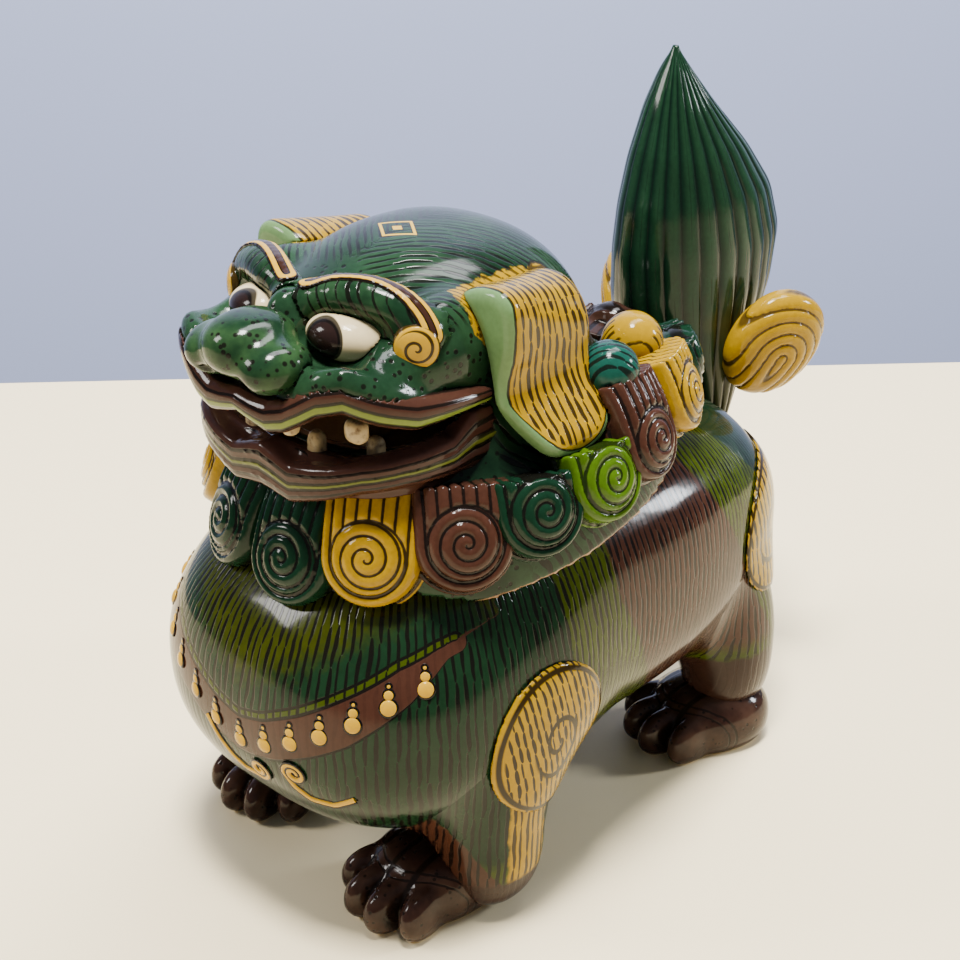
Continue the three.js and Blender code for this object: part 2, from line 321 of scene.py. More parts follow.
def wrap(x, y, z):
    """Brush directions on the body: across the hoops from nose to tail, and along each hoop."""
    ahead, behind = np.clip(-36 - y, 0, None), np.clip(y - 32, 0, None)
    wide = np.abs(x) + 1e-4
    across = np.clip(y, -36, 32) - 54 * np.arctan2(ahead, wide) + 54 * np.arctan2(behind, wide)
    return across, 46 * np.arctan2(np.hypot(x, ahead + behind), z - 69)


BIB_TURN = [0, 8, 18, 29, 41, 50, 62, 75]
BIB_EDGE = [62.2, 64.4, 69.6, 76.2, 83.0, 86.0, 88.5, 90.5]


def bib_height(turn):
    return np.interp(np.abs(turn - 1), BIB_TURN, BIB_EDGE)


def on_belly(turn, z, lift=0.0):
    """Points on the pot's skin at bearings from the front about its fore centre, at heights z."""
    turn, z = np.radians(np.asarray(turn, float)), np.asarray(z, float)
    near, far = np.zeros_like(turn), np.full_like(turn, 95.0)
    for _ in range(30):
        out = (near + far) / 2
        inside = belly(out * np.sin(turn), -36 - out * np.cos(turn), z) < lift
        near, far = np.where(inside, out, near), np.where(inside, far, out)
    return np.stack([near * np.sin(turn), -36 - near * np.cos(turn), z], -1)


def beside(points, line):
    """For each point, how far along a line of points its nearest place is, and how far off."""
    best, run = np.full(len(points), 1e9), np.zeros(len(points))
    start = 0.0
    for a, b in zip(line[:-1], line[1:]):
        span = b - a
        length = np.linalg.norm(span)
        part = np.clip((points - a) @ span / length ** 2, 0, 1)
        off = np.linalg.norm(points - a - part[:, None] * span, axis=1)
        closer = off < best
        best, run = np.where(closer, off, best), np.where(closer, start + part * length, run)
        start += length
    return run, best


hem_turns = np.linspace(-56, 56, 90)
HEM = on_belly(hem_turns, bib_height(hem_turns))


def body_marks(mesh):
    """Everything that the body's painter needs to know about a point on the pot or a leg."""
    x, y, z = spots(mesh)
    across, along = wrap(x, y, z)
    turn = np.degrees(np.arctan2(x, -(y + 36)))
    fore = y < -30
    run, off = beside(np.stack([x, y, z], 1), HEM)
    deep = np.interp(np.abs(turn - 1), [0, 30, 44, 53], [11.5, 11.5, 8.5, 3.0])
    above = np.where((z > bib_height(turn)) & (np.abs(turn) < 70), off, -off * 11.5 / deep)
    note(mesh, across=across, along=along, bib=np.where(fore, above, -30.0),
         band_1=y + 35, band_2=y + 15 - 0.5 * np.clip(82 - z, 0, None),
         band_3=y - 57 + 0.57 * (z - 45), band_4=y - 44 - 0.95 * (102 - z),
         under=np.where(fore, 20, 36) - z, inside=-belly(x, y, z))


def body_paint(glaze):
    across, along = glaze.read("across"), glaze.read("along")
    ragged = 2.2 * glaze.cloud(0.5) - 1.1
    colour = glaze.enamel(DARK_GREEN)
    olive, brown = glaze.enamel(OLIVE), glaze.enamel(AUBERGINE, 0.35)
    hoops = ("band_1", olive), ("band_2", brown), ("band_3", olive), ("band_4", glaze.enamel(DARK_GREEN))
    for name, over in hoops:
        colour = glaze.mix((glaze.read(name) + ragged).ramp(-0.8, 0.8), colour, over)
    colour = glaze.mix((glaze.read("under") + 2 * ragged).ramp(-3, 3), colour, olive)
    bib = glaze.read("bib")
    upper = glaze.mix((bib + 4 * ragged).ramp(6, 16), glaze.enamel(DARK_GREEN),
                      glaze.enamel(shade(48, 54, 6)))
    colour = glaze.mix(bib.ramp(-0.3, 0.3), colour, upper)
    strip = bib.ramp(0.2, -0.2) * bib.ramp(-11.5, -10.5)
    colour = glaze.mix(strip, colour, brown)
    ink = glaze.strokes(across, along, 2.1, 7.5, 0.42) * (1.0 - 0.85 * strip)
    lines = abs(bib + 0.1).ramp(0.55, 0.3).most(abs(bib - 2.0).ramp(0.5, 0.28))
    lines = lines.most(abs(bib + 11.0).ramp(0.4, 0.2))
    hem = bib.ramp(0.2, 0.5) * bib.ramp(1.9, 1.6)
    colour = glaze.mix(hem, colour, OLIVE)
    return colour, ink.most(lines)


pot_glaze = Glaze("belly_enamels")
paint, ink = body_paint(pot_glaze)
bare = pot_glaze.read("inside").ramp(0.8, 1.4)
colour = pot_glaze.mix(0.95 * ink, paint, INK)
pot_glaze.give("Base Color", pot_glaze.mix(bare, colour, pot_glaze.enamel(CREAM, 0.2)))
pot_mesh = skin("belly_pot", (-58, -101, 18), (58, 88, 115), 1.3, pot_clay)
body_marks(pot_mesh)
show(pot_mesh, pot_glaze.gloss(-0.25 * ink), "pot", "green_glaze", "belly_pot")

# ---------------------------------------------------------------------------------------------
# Four legs. Short pressed clay stumps, luted under the belly with a soft fillet and painted on
# with the body's own bands; the shoulder's yellow runs down the outside of each front one.
# ---------------------------------------------------------------------------------------------
def leg_clay(at, half):
    def field(x, y, z):
        body = belly(x, y, z)
        stump = ball(x, y, z, at, half, 2.2, 2.6)
        return np.maximum(np.maximum(melt(body + 0.3, stump, 16), -1.5 - body), stump - 14)
    return field


leg_glaze = Glaze("leg_enamels")
paint, ink = body_paint(leg_glaze)
flow = leg_glaze.read("flow") + 2.5 * leg_glaze.cloud(0.3) - 1.2
colour = leg_glaze.mix(flow.ramp(-0.6, 0.6) * flow.ramp(10.5, 9.5), paint, leg_glaze.enamel(YELLOW, 0.3))
shin = leg_glaze.read("shin") + 3.0 * leg_glaze.cloud(0.25) - 1.5
colour = leg_glaze.mix(shin.ramp(-0.6, 0.6), colour, leg_glaze.enamel(AUBERGINE, 0.35))
foot = leg_glaze.read("low") + 3.0 * leg_glaze.cloud(0.3) - 1.5
colour = leg_glaze.mix(foot.ramp(-1.0, 1.0), colour, leg_glaze.enamel(BROWN))
leg_glaze.give("Base Color", leg_glaze.mix(0.9 * ink * foot.ramp(1.0, -1.0), colour, INK))
leg_glaze.gloss(-0.25 * ink)
STUMP = np.array([13.0, 14.5, 23.0])
for end, hand in (("front", "left"), ("front", "right"), ("rear", "left"), ("rear", "right")):
    at = where(f"{end}_leg_{hand}")[0]
    side = 1 if at[0] > 0 else -1
    low, high = at - STUMP - (9, 11, 3), at + STUMP + (9, 11, 10)
    mesh = skin(f"{end}_leg_{hand}", low, high, 0.95, leg_clay(at, STUMP))
    body_marks(mesh)
    x, y, z = spots(mesh)
    front = end == "front"
    outward, behind = side * (x - at[0]), y - at[1]
    note(mesh, flow=np.where(front, outward * 0.5 + behind * 0.75 - 1.5, -30.0),
         shin=np.where(front, 12 - z - behind * 1.2 - outward * 0.7, -30.0),
         low=np.where(front, 13.5, 32) - z)
    show(mesh, leg_glaze.material, "pot", "green_glaze", f"{end}_leg_{hand}")

# ---------------------------------------------------------------------------------------------
# Four paws. Each is a broad pad with four rounded toes pinched out of it and a ground flat sole,
# glazed dark brown with black touches and a black line drawn across the toes for the claws.
# ---------------------------------------------------------------------------------------------
def toes(at, half, facing):
    """Middles of the toes, fanned round the front of a pad, in the lion's millimetres."""
    spread = []
    for across in (-10.5, -3.6, 3.6, 10.5):
        ahead = -half[1] + 5.0 + 0.05 * across * across
        c, s = math.cos(math.radians(facing)), math.sin(math.radians(facing))
        spread.append((at[0] + across * c - ahead * s, at[1] + across * s + ahead * c, across))
    return spread


def paw_clay(at, half, facing):
    def field(x, y, z):
        u, v, w = turned(x, y, z, (at[0], at[1], 0), facing)
        pad = ball(u, v + 0 * w, w, (0, 1.5, 7.5), (half[0] - 1.2, half[1] - 2.5, 12.0), 2.4, 2.3)
        for middle in toes(at, half, facing):
            a, b, c = turned(x, y, z, (middle[0], middle[1], 0), facing + middle[2] * 1.5)
            toe = ball(a, b, c, (0, 0, 6.3), (4.3, 10.5, 7.6), 2.2, 2.2)
            pad = melt(pad, toe, 1.3)
        return np.maximum(pad, 0.05 - z)
    return field


paw_glaze = Glaze("paw_enamel")
hide = paw_glaze.enamel(BROWN, 0.7)
claw = paw_glaze.read("ahead") + 1.6 * paw_glaze.cloud(0.2)
cross = abs(claw - 7.0).ramp(0.55, 0.25).most(abs(claw - 9.6).ramp(0.4, 0.2))
seams = paw_glaze.read("seam").ramp(1.1, 0.5)
ink = paw_glaze.specks(0.42, 0.24).most(cross * paw_glaze.read("seam").ramp(0.2, 0.6)).most(seams)
hide = paw_glaze.mix(paw_glaze.cloud(0.15).ramp(0.4, 0.75), hide, shade(62, 44, 36))
colour = paw_glaze.mix(0.8 * ink, hide, INK)
sole = paw_glaze.read("height").ramp(0.9, 0.3)
paw_glaze.give("Base Color", paw_glaze.mix(sole, colour, CREAM))
paw_glaze.gloss(-0.3 * ink)
PAW = np.array([17.0, 20.5, 12.0])
for name, facing in (("front_paw_left", -8), ("front_paw_right", 8),
                     ("rear_paw_left", -22), ("rear_paw_right", 22)):
    at = where(name)[0]
    low, high = (at[0] - 24, at[1] - 27, -1.0), (at[0] + 24, at[1] + 27, 21)
    mesh = skin(name, low, high, 0.8, paw_clay(at, PAW, facing))
    x, y, z = spots(mesh)
    u, v, w = turned(x, y, z, (at[0], at[1], 0), facing)
    seam = np.min([abs(u - s * (1 + 0.012 * (-v - 8))) for s in (-7.2, 0.0, 7.2)], axis=0)
    note(mesh, ahead=-v - PAW[1] + 16 + 0.05 * u * u + 0.3 * (7 - z),
         seam=seam + np.where(v < -2, 0, 3), height=z)
    show(mesh, paw_glaze.material, "pot", "brown_glaze", name)

# ---------------------------------------------------------------------------------------------
# Curls of hair on the shoulders and haunches. Low oval pats of clay laid on the body, enamelled
# yellow, edged in black and filled with short strokes that turn about a hooked line.
# ---------------------------------------------------------------------------------------------
def pat_clay(at, half, turn, lift, stump):
    def field(x, y, z):
        body = melt(belly(x, y, z), ball(x, y, z, *stump, 2.2, 2.6), 16)
        u, v, w = turned(x, y, z, at, turn)
        rim = np.hypot(v / half[1], w / half[2])
        dome = lift * np.sqrt(np.clip(1 - 0.9 * rim ** 2.5, 0, None))
        return np.maximum(np.maximum(body - dome, 0.2 - body), (rim - 1) * 14 + 0 * u)
    return field


pat_glaze = Glaze("curl_enamel")
u, v = pat_glaze.read("u"), pat_glaze.read("v")
reach = (u * u + v * v * 0.62) ** 0.5
hook = abs((reach / 5.4 + v.turns(u) + 0.35).part() - 0.5) * 5.4
hook = hook.ramp(0.8, 0.45) * reach.ramp(9.0, 8.0)
ink = pat_glaze.strokes(u + 0.2 * v, v - 0.2 * u, 2.1, 5.0, 0.42) * reach.ramp(17.2, 16.4)
edge = abs(pat_glaze.read("rim") - 0.93).ramp(0.045, 0.02)
ink = ink.most(hook).most(edge)
colour = pat_glaze.enamel(YELLOW, 0.35)
pat_glaze.give("Base Color", pat_glaze.mix(0.95 * ink, colour, INK))
pat_glaze.gloss(-0.3 * ink)
for end, half, shift, turn, lift in (("shoulder", (9.0, 19.5, 20.5), (0, -0.5, 3.5), 8, 3.0),
                                     ("haunch", (9.0, 14.5, 19.5), (0, -1.5, 0), -30, 2.6)):
    for hand, side in (("left", 1), ("right", -1)):
        name = f"{end}_curl_{hand}"
        at = where(name)[0] + shift
        stump = where(f"{'front' if end == 'shoulder' else 'rear'}_leg_{hand}")[0], STUMP
        field = pat_clay(at, half, turn * side, lift, stump)
        reach = np.array(half) + (12, 8, 3)
        mesh = skin(name, at - reach, at + reach, 0.75, field)
        x, y, z = spots(mesh)
        a, b, c = turned(x, y, z, at, turn * side)
        note(mesh, u=b, v=c, rim=np.hypot(b / half[1], c / half[2]))
        show(mesh, pat_glaze.material, "pot", "yellow_glaze", name)

# ---------------------------------------------------------------------------------------------
# The tail. An upright flame of clay standing on the rump, modelled into round ribs that run
# from its root and draw together at the tip, dark green with black in every groove, and with
# painted shade that darkens the green into each groove and lightens it on each rib's crest.
# ---------------------------------------------------------------------------------------------
def loft(name, rings):
    """A closed skin over rings of points, with a point at each end."""
    rows, count, _ = rings.shape
    points = np.concatenate([rings.reshape(-1, 3), [rings[0].mean(0), rings[-1].mean(0)]])
    first = np.arange(rows - 1)[:, None] * count + np.arange(count)[None]
    after = np.arange(rows - 1)[:, None] * count + (np.arange(count)[None] + 1) % count
    faces = np.stack([first, after, after + count, first + count], -1).reshape(-1, 4)
    loop = np.arange(count)
    half = loop[::2]
    caps = []
    for row, pole in ((0, rows * count), (rows - 1, rows * count + 1)):
        base = row * count
        a, b, c = base + half, base + (half + 1) % count, base + (half + 2) % count
        fan = np.stack([np.full_like(a, pole), a, b, c], -1)
        caps.append(fan[:, ::-1] if row == 0 else fan)
    return plain_mesh(name, points, np.concatenate([faces, *caps]))


TAIL_RISE = [0.0, 0.1, 0.22, 0.38, 0.5, 0.62, 0.74, 0.86, 0.95, 1.0]
TAIL_FRONT = [72.0, 66.0, 59.0, 54.0, 52.5, 53.5, 56.5, 61.0, 65.5, 69.0]
TAIL_BACK = [88.0, 93.0, 101.0, 112.0, 116.0, 111.0, 98.5, 83.0, 73.5, 69.4]
TAIL_DEEP = [16.0, 18.0, 19.0, 19.0, 18.2, 16.4, 13.4, 8.8, 4.2, 0.3]
RIBS = 13
rise = np.linspace(0, 1, 170)
smooth = np.ones(9) / 9
front, back, deep = (np.convolve(np.pad(np.interp(rise, TAIL_RISE, row), 4, "edge"), smooth, "valid")
                     for row in (TAIL_FRONT, TAIL_BACK, TAIL_DEEP))
round_by = np.linspace(0, 2 * math.pi, 361)[:-1]
share = (1 - np.cos(round_by)) / 2
fold = np.minimum(round_by, 2 * math.pi - round_by) / math.pi
rib = np.abs(np.sin(math.pi * RIBS * fold)) ** 0.5
swell = np.sin(round_by)
thick = np.sign(swell) * np.abs(swell) ** 0.85
groove = np.sign(swell) * (1 - rib) * 0.3 * np.minimum(1, deep[:, None] / 8)
deep_ring = deep[:, None] * thick * (0.97 + 0.03 * rib) - groove
long_ring = front[:, None] + (back - front)[:, None] * share
tail_at, tail_half = where("tail_plume")
top = 84 + rise * (tail_at[2] + tail_half[2] - 84.4)
rings = np.stack([deep_ring, long_ring + 0 * top[:, None], top[:, None] + 0 * long_ring], -1)
mesh = loft("tail_plume", rings)
note(mesh, share=np.append(np.tile(fold, len(rise)), [0.5, 0.5]),
     rise=np.append(np.repeat(rise, len(fold)), [0, 1]))
tail_glaze = Glaze("tail_enamel")
rise_by, share_by = tail_glaze.read("rise"), tail_glaze.read("share")
wander = share_by + 0.012 * tail_glaze.cloud(0.05) - 0.006
groove = abs((wander * RIBS + 0.5).part() - 0.5)
ink = groove.ramp(0.1, 0.03)
fine = abs((wander * RIBS * 2.0 + 0.5).part() - 0.5).ramp(0.07, 0.02)
fine = fine * tail_glaze.cloud(0.12).ramp(0.45, 0.6)
# painted shade: a dark and a light copy of the green, dark in each groove and light on each rib's crest
groove_painted_shade = groove.ramp(0.0, 0.42)
green = tail_glaze.mix(groove_painted_shade, tail_glaze.enamel(shade(8, 28, 19)),
                       tail_glaze.enamel(shade(22, 48, 31), 0.6))
low = (0.42 - rise_by + 0.18 * tail_glaze.cloud(0.08)).ramp(0.1, 0.2)
low = low * (share_by + 0.3 * tail_glaze.cloud(0.1)).ramp(0.42, 0.6)
green = tail_glaze.mix(0.5 * low, green, shade(70, 64, 32))
tail_glaze.give("Base Color", tail_glaze.mix((0.85 * ink).most(0.5 * fine), green, shade(10, 22, 17)))
show(mesh, tail_glaze.gloss(-0.2 * fine), "pot", "green_glaze", "tail_plume")

# ---------------------------------------------------------------------------------------------
# Two curls at the root of the tail. Thick round paddles of clay, yellow, with grooves nested one
# inside another and open towards the rump.
# ---------------------------------------------------------------------------------------------
curl_glaze = Glaze("tail_curl_enamel")
u, v = curl_glaze.read("u"), curl_glaze.read("v")
bent = (u * u + (v.most(0.0)) ** 2.0 + 0.05 * (v.least(0.0)) ** 2.0) ** 0.5
lines = abs((bent / 3.5 + 0.05 * curl_glaze.cloud(0.2)).part() - 0.5)
ink = lines.ramp(0.13, 0.06)
colour = curl_glaze.enamel(YELLOW, 0.4)
curl_glaze.give("Base Color", curl_glaze.mix(0.9 * ink, colour, shade(54, 40, 16)))
curl_glaze.gloss(-0.5 * ink)
for hand, side in (("left", 1), ("right", -1)):
    at, half = where(f"tail_curl_{hand}")
    at = at + (2.5 * side, -4, 0)
    facing = (-18 * side, -24, 14 * side)
    size = np.array([7.6, 15.5, 17.5])

    def field(x, y, z):
        a, b, c = turned(x, y, z, at, *facing)
        form = ball(a, b, c, (0, 0, 0), size, 2.1, 2.1)
        inner = np.sqrt(b * b + np.clip(c + 2, 0, None) ** 2 + 0.05 * np.clip(c + 2, None, 0) ** 2)
        groove = np.abs((inner / 3.5) % 1 - 0.5)
        form = form + 0.8 * np.exp(-(groove / 0.13) ** 2)
        return np.maximum(form, 0.3 - belly(x, y, z))

    mesh = skin(f"tail_curl_{hand}", at - (17, 19, 20), at + (17, 19, 20), 0.7, field)
    x, y, z = spots(mesh)
    a, b, c = turned(x, y, z, at, *facing)
    note(mesh, u=b, v=c + 2)
    show(mesh, curl_glaze.material, "pot", "yellow_glaze", f"tail_curl_{hand}")

# ---------------------------------------------------------------------------------------------
# The head lid. Skull, snout and a flaring skirt pressed as one hollow shell that sits over the
# pot's neck; dark green, with hair strokes swept back from a parting and specks over the face.
# ---------------------------------------------------------------------------------------------
SKULL = ((0, -30, 136), (38, 42, 37), 2.3, 2.2)
SNOUT = ((0, -61, 150.0), (33, 27, 10.5), 2.4, 2.3)
SKIRT = ((0, -18, 99), (55, 63, 40), 2.1, 2.1)
LIP_TURN = [0, 8, 16, 24, 30, 37, 46, 57, 71, 87, 100, 120]
LIP_TOP = [147.2, 146.6, 146.6, 148.4, 150.8, 153.8, 154.9, 151.9, 148.4, 146.6, 145.2, 143.0]
LIP_LOW = [140.6, 139.2, 137.9, 139.0, 141.2, 144.0, 145.4, 142.2, 139.4, 139.6, 139.8, 139.0]
NAPE = np.array([(30, -17, 164), (35, -6, 158), (37, 4, 149), (36, 10, 142), (33, 16, 136)], float)


def ring(x, y, middle, half_x, half_y, power):
    """Bearing from the front in degrees, and distance outside a squared-up ring."""
    turn = np.arctan2(x, -(y - middle))
    flat = (np.abs(np.sin(turn)) / half_x) ** power + (np.abs(np.cos(turn)) / half_y) ** power
    return np.degrees(turn), np.hypot(x, y - middle) - flat ** (-1 / power)


def level(turn, turns, heights):
    return np.interp(np.abs(turn), turns, heights).astype(np.float32)


def head(x, y, z):
    form = melt(ball(x, y, z, *SKULL), ball(x, y, z, *SNOUT), 9)
    turn, outside = ring(x, y, -57, 38, 35, 2.6)
    lip = level(turn, LIP_TURN, LIP_TOP)
    pad = np.hypot(outside + 5.0, z - lip + 2.6) - 4.6 + 0.003 * (np.abs(turn) - 48) ** 2
    form = melt(form, pad, 4)
    socket = ball(np.abs(x), y, z, (16, -76.5, 160), (11.5, 9, 8.0))
    form = -melt(-form, socket, 3)
    form = melt(form, ball(x, y, z, (0, -74, 160.5), (4.5, 6, 6)), 5)
    temple = ball(np.abs(x), y, z, (27.5, -53, 155), (7.0, 11, 10))
    form = melt(form, temple, 8)
    form = melt(form, ball(x, y, z, *SKIRT), 12)
    for at, size in (((45, -12, 140), 7.5), ((34, 11, 138), 8.0)):
        form = melt(form, ball(np.abs(x), y, z, at, (size, size, size)), 3)
    return form


def lid_hem(y):
    """Height of the lid's lower edge, which rises towards the back."""
    return 88 + 0.21 * (y + 82)


def lid_clay(x, y, z):
    form = head(x, y, z)
    wall = np.maximum(form, -(form + 4.2))
    hem = lid_hem(y) - z
    gape = ball(x, y, z, (0, -60, 136.5), (32.5, 34, 8.5), 2.6, 2.4)
    wall = np.maximum(np.maximum(wall, hem + 0 * x), 0.35 - belly(x, y, z))
    return -melt(-wall, gape, 1.5)


mesh = skin("lid_shell", (-58, -96, 86), (58, 48, 179), 1.02, lid_clay)
x, y, z = spots(mesh)
side = np.abs(x)
strand_x, strand_y = (np.interp(-z, -NAPE[:, 2], NAPE[:, i]) for i in (0, 1))
note(mesh, across=0.72 * (y - side) + 0.25 * (z - 150) * (z < 150), along=0.7 * (side + y) - 0.6 * z,
     middle=x, face=np.minimum(168.5 - z - 0.25 * side, -45 - y),
     ear=np.minimum(side - 25.5, 16 - abs(y + 33)) + np.minimum(0, z - 157),
     nape=beside(np.stack([side, y, z], 1), NAPE)[1], lateral=side - strand_x + 0.4 * (y - strand_y),
     bead=np.sqrt((side - 34) ** 2 + (y - 11) ** 2 + (z - 138) ** 2), bead_v=z - 138,
     bead_u=0.8 * (y + 11.5) + 0.4 * (z - 138),
     teal=np.sqrt((side - 45) ** 2 + (y + 12) ** 2 + (z - 140) ** 2),
     petal_u=x, petal_v=y + 39, inside=-head(x, y, z), crown=z - 160, under=z - lid_hem(y))
lid_glaze = Glaze("head_enamels")
green = lid_glaze.mottle(0.06, shade(15, 36, 22), shade(32, 58, 37))
face = (lid_glaze.read("face") + 2 * lid_glaze.cloud(0.3) - 1).ramp(-1.5, 1.5)
strokes = lid_glaze.strokes(lid_glaze.read("across"), lid_glaze.read("along"), 1.9, 9.0, 0.4)
parting = abs(lid_glaze.read("middle") + 5.0 * lid_glaze.cloud(0.35, 1.0) - 2.5).ramp(0.5, 0.2)
parting = parting * lid_glaze.read("crown").ramp(3, 8)
ink = lid_glaze.mix(face, strokes.most(0.7 * parting), lid_glaze.specks(0.46, 0.33))
yellow = lid_glaze.enamel(YELLOW, 0.3)
ear_root = (lid_glaze.read("ear") + 5.0 * lid_glaze.cloud(0.35, 3.0) - 2.5).ramp(-0.4, 0.4)
nape = (lid_glaze.read("nape") + 1.5 * lid_glaze.cloud(0.3) - 0.7)
strand = nape.ramp(5.6, 5.0)
hair = abs((lid_glaze.read("lateral") / 2.3).part() - 0.5).ramp(0.17, 0.08) * strand
hair = hair.most(abs(nape - 5.4).ramp(0.5, 0.2))
bead, teal = lid_glaze.read("bead"), lid_glaze.read("teal")
turns = (bead / 3.0 + lid_glaze.read("bead_v").turns(lid_glaze.read("bead_u"))).part()
coil = abs(turns - 0.5).ramp(0.16, 0.08).most(abs(bead - 8.4).ramp(0.4, 0.2))
colour = lid_glaze.mix(ear_root.most(strand).most(bead.ramp(9.0, 8.4)), green, yellow)
colour = lid_glaze.mix(teal.ramp(8.6, 8.0), colour, lid_glaze.enamel(shade(18, 66, 56)))
ink = ink * (1.0 - ear_root).most(0.9) * (1.0 - strand)
ink = ink.most(hair * bead.ramp(8.0, 8.6)).most(coil * bead.ramp(9.0, 8.8))
petal_u, petal_v = lid_glaze.read("petal_u"), lid_glaze.read("petal_v")
lozenge = abs(petal_u) * 0.75 + abs(petal_v)
on_crown = lid_glaze.read("crown").ramp(5, 8)
badge = abs(lozenge - 4.6).ramp(0.55, 0.35).most(lozenge.ramp(1.5, 1.2)) * on_crown
badge_line = abs(lozenge - 4.6).ramp(0.95, 0.75).most(lozenge.ramp(1.9, 1.7)) * on_crown
colour = lid_glaze.mix(0.88 * ink.most(badge_line), colour, INK)
colour = lid_glaze.mix(badge, colour, shade(196, 158, 46))
bare = lid_glaze.read("inside").ramp(1.2, 2.0).most(lid_glaze.read("under").ramp(1.0, 0.6))
lid_glaze.give("Base Color", lid_glaze.mix(bare, colour, lid_glaze.enamel(shade(150, 118, 92), 0.3)))
show(mesh, lid_glaze.gloss(-0.25 * ink), "lid", "green_glaze", "lid_shell")

# ---------------------------------------------------------------------------------------------
# The locating flange. A ring of bare porcelain inside the lid that drops into the pot's neck,
# with a brim that rests on the pot's shoulder.
# ---------------------------------------------------------------------------------------------
def flange_clay(x, y, z):
    reach = np.hypot(x / 33, (y + 16) / 36) * 33
    bore = np.maximum(27 - reach, z - 117)
    ring_wall = np.maximum(np.maximum(reach - 31, 102.3 - z), bore)
    brim = np.maximum(np.maximum(reach - 42, 113.6 - z), bore)
    return np.maximum(melt(ring_wall, brim, 1.0), np.where(reach > 32.67, 0.3 - belly(x, y, z), -9))


bisque = Glaze("bare_porcelain", **{"Roughness": 0.75, "Coat Weight": 0.0})
bisque.give("Base Color", bisque.enamel(shade(214, 203, 182), 0.2))
bisque.gloss()
mesh = skin("lid_flange", (-46, -62, 100), (46, 31, 119), 0.95, flange_clay)
show(mesh, bisque.material, "lid", "bare_porcelain", "lid_flange")

# ---------------------------------------------------------------------------------------------
# The nose. One round bulb and two wings pinched up from a ball of clay, with a nostril pressed
# in on each side, green and specked with black.
# ---------------------------------------------------------------------------------------------
def nose_clay(x, y, z):
    side = np.abs(x)
    form = ball(x, y, z, (0, -86, 156.5), (9.5, 11.5, 7.6), 2.2, 2.2)
    wing = ball(side, y, z, (9.5, -87, 153.4), (7.4, 9.0, 6.2))
    form = melt(form, wing, 3.0)
    hole = ball(side, y, z, (6.5, -96.5, 150.0), (2.5, 4.0, 1.8))
    form = -melt(-form, hole, 1.2)
    return np.maximum(form, 0.15 - head(x, y, z))


nose_glaze = Glaze("nose_enamel")
green = nose_glaze.mottle(0.12, shade(18, 40, 24), shade(42, 68, 38))
ink = nose_glaze.specks(0.48, 0.33).most(nose_glaze.read("hole").ramp(1.2, 0.2))
nose_glaze.give("Base Color", nose_glaze.mix(0.9 * ink, green, INK))
nose_at = where("nose")[0]
mesh = skin("nose", nose_at - (20, 16, 16), nose_at + (20, 16, 12), 0.6, nose_clay)
x, y, z = spots(mesh)
note(mesh, hole=np.sqrt((np.abs(x) - 6.5) ** 2 + ((y + 96.5) / 1.6) ** 2 + ((z - 150.0) / 0.9) ** 2) - 2.0)
show(mesh, nose_glaze.gloss(), "lid", "green_glaze", "nose")

# ---------------------------------------------------------------------------------------------
# The lips. A waved band of clay round the snout that dips over each canine, and a tray-shaped
# lower jaw; both are striped in aubergine and yellow-green with black lines between.
# ---------------------------------------------------------------------------------------------
JAW_TURN = [0, 8, 17, 34, 47, 62, 82, 92, 100, 120]
JAW_TOP = [131.4, 130.2, 128.4, 130.2, 132.2, 133.4, 134.4, 139.0, 139.6, 138.0]
JAW_LOW = [120.2, 119.6, 118.6, 121.9, 125.0, 126.0, 125.2, 124.6, 124.2, 124.0]


def lip_clay(x, y, z):
    turn, outside = ring(x, y, -57, 38, 35, 2.6)
    high, low = level(turn, LIP_TURN, LIP_TOP), level(turn, LIP_TURN, LIP_LOW)
    middle, half = (high + low) / 2, (high - low) / 2
    across = (z - middle) / half
    bow = 1.1 * across * across * (across > 0)
    form = ((np.abs((outside + 4.2 + bow) / 4.6)) ** 2.6 + np.abs(across) ** 2.6) ** (1 / 2.6)
    form = (form - 1) * 3.4
    return np.maximum(np.maximum(form, y + 45 + 0 * z), 0.15 - head(x, y, z))


def jaw_clay(x, y, z):
    turn, outside = ring(x, y, -53, 37.5, 33, 2.9)
    high, low = level(turn, JAW_TURN, JAW_TOP), level(turn, JAW_TURN, JAW_LOW)
    middle, half = (high + low) / 2, (high - low) / 2
    step = 0.35 * np.abs(np.sin((z - low) / (high - low) * 3.1416 * 4))
    form = ((np.abs((outside + 3.6 + step) / 3.9)) ** 5 + np.abs((z - middle) / half) ** 5) ** (1 / 5)
    form = (form - 1) * 3.2
    floor = np.maximum(np.maximum(outside + 3, np.abs(z - 124.5) - 2.0), y + 30 + 0 * z)
    gum = np.maximum(np.abs(outside + 8.5) - 2.2, np.abs(z - 127.0) - 3.2)
    form = melt(melt(form, floor, 2), gum, 2)
    return np.maximum(np.maximum(form, y + 43 + 0 * z), 0.2 - ball(x, y, z, *SKULL))


def bands(glaze, height, edges):
    """Stripes over a height that runs 0 to 1, with an ink line at every change of colour."""
    colour, ink = glaze.enamel(shade(58, 35, 27), 0.35), None
    for start, tint in edges:
        colour = glaze.mix(height.ramp(start - 0.015, start + 0.015), colour, tint)
        line = abs(height - start).ramp(0.06, 0.03)
        ink = line if ink is None else ink.most(line)
    return colour, ink


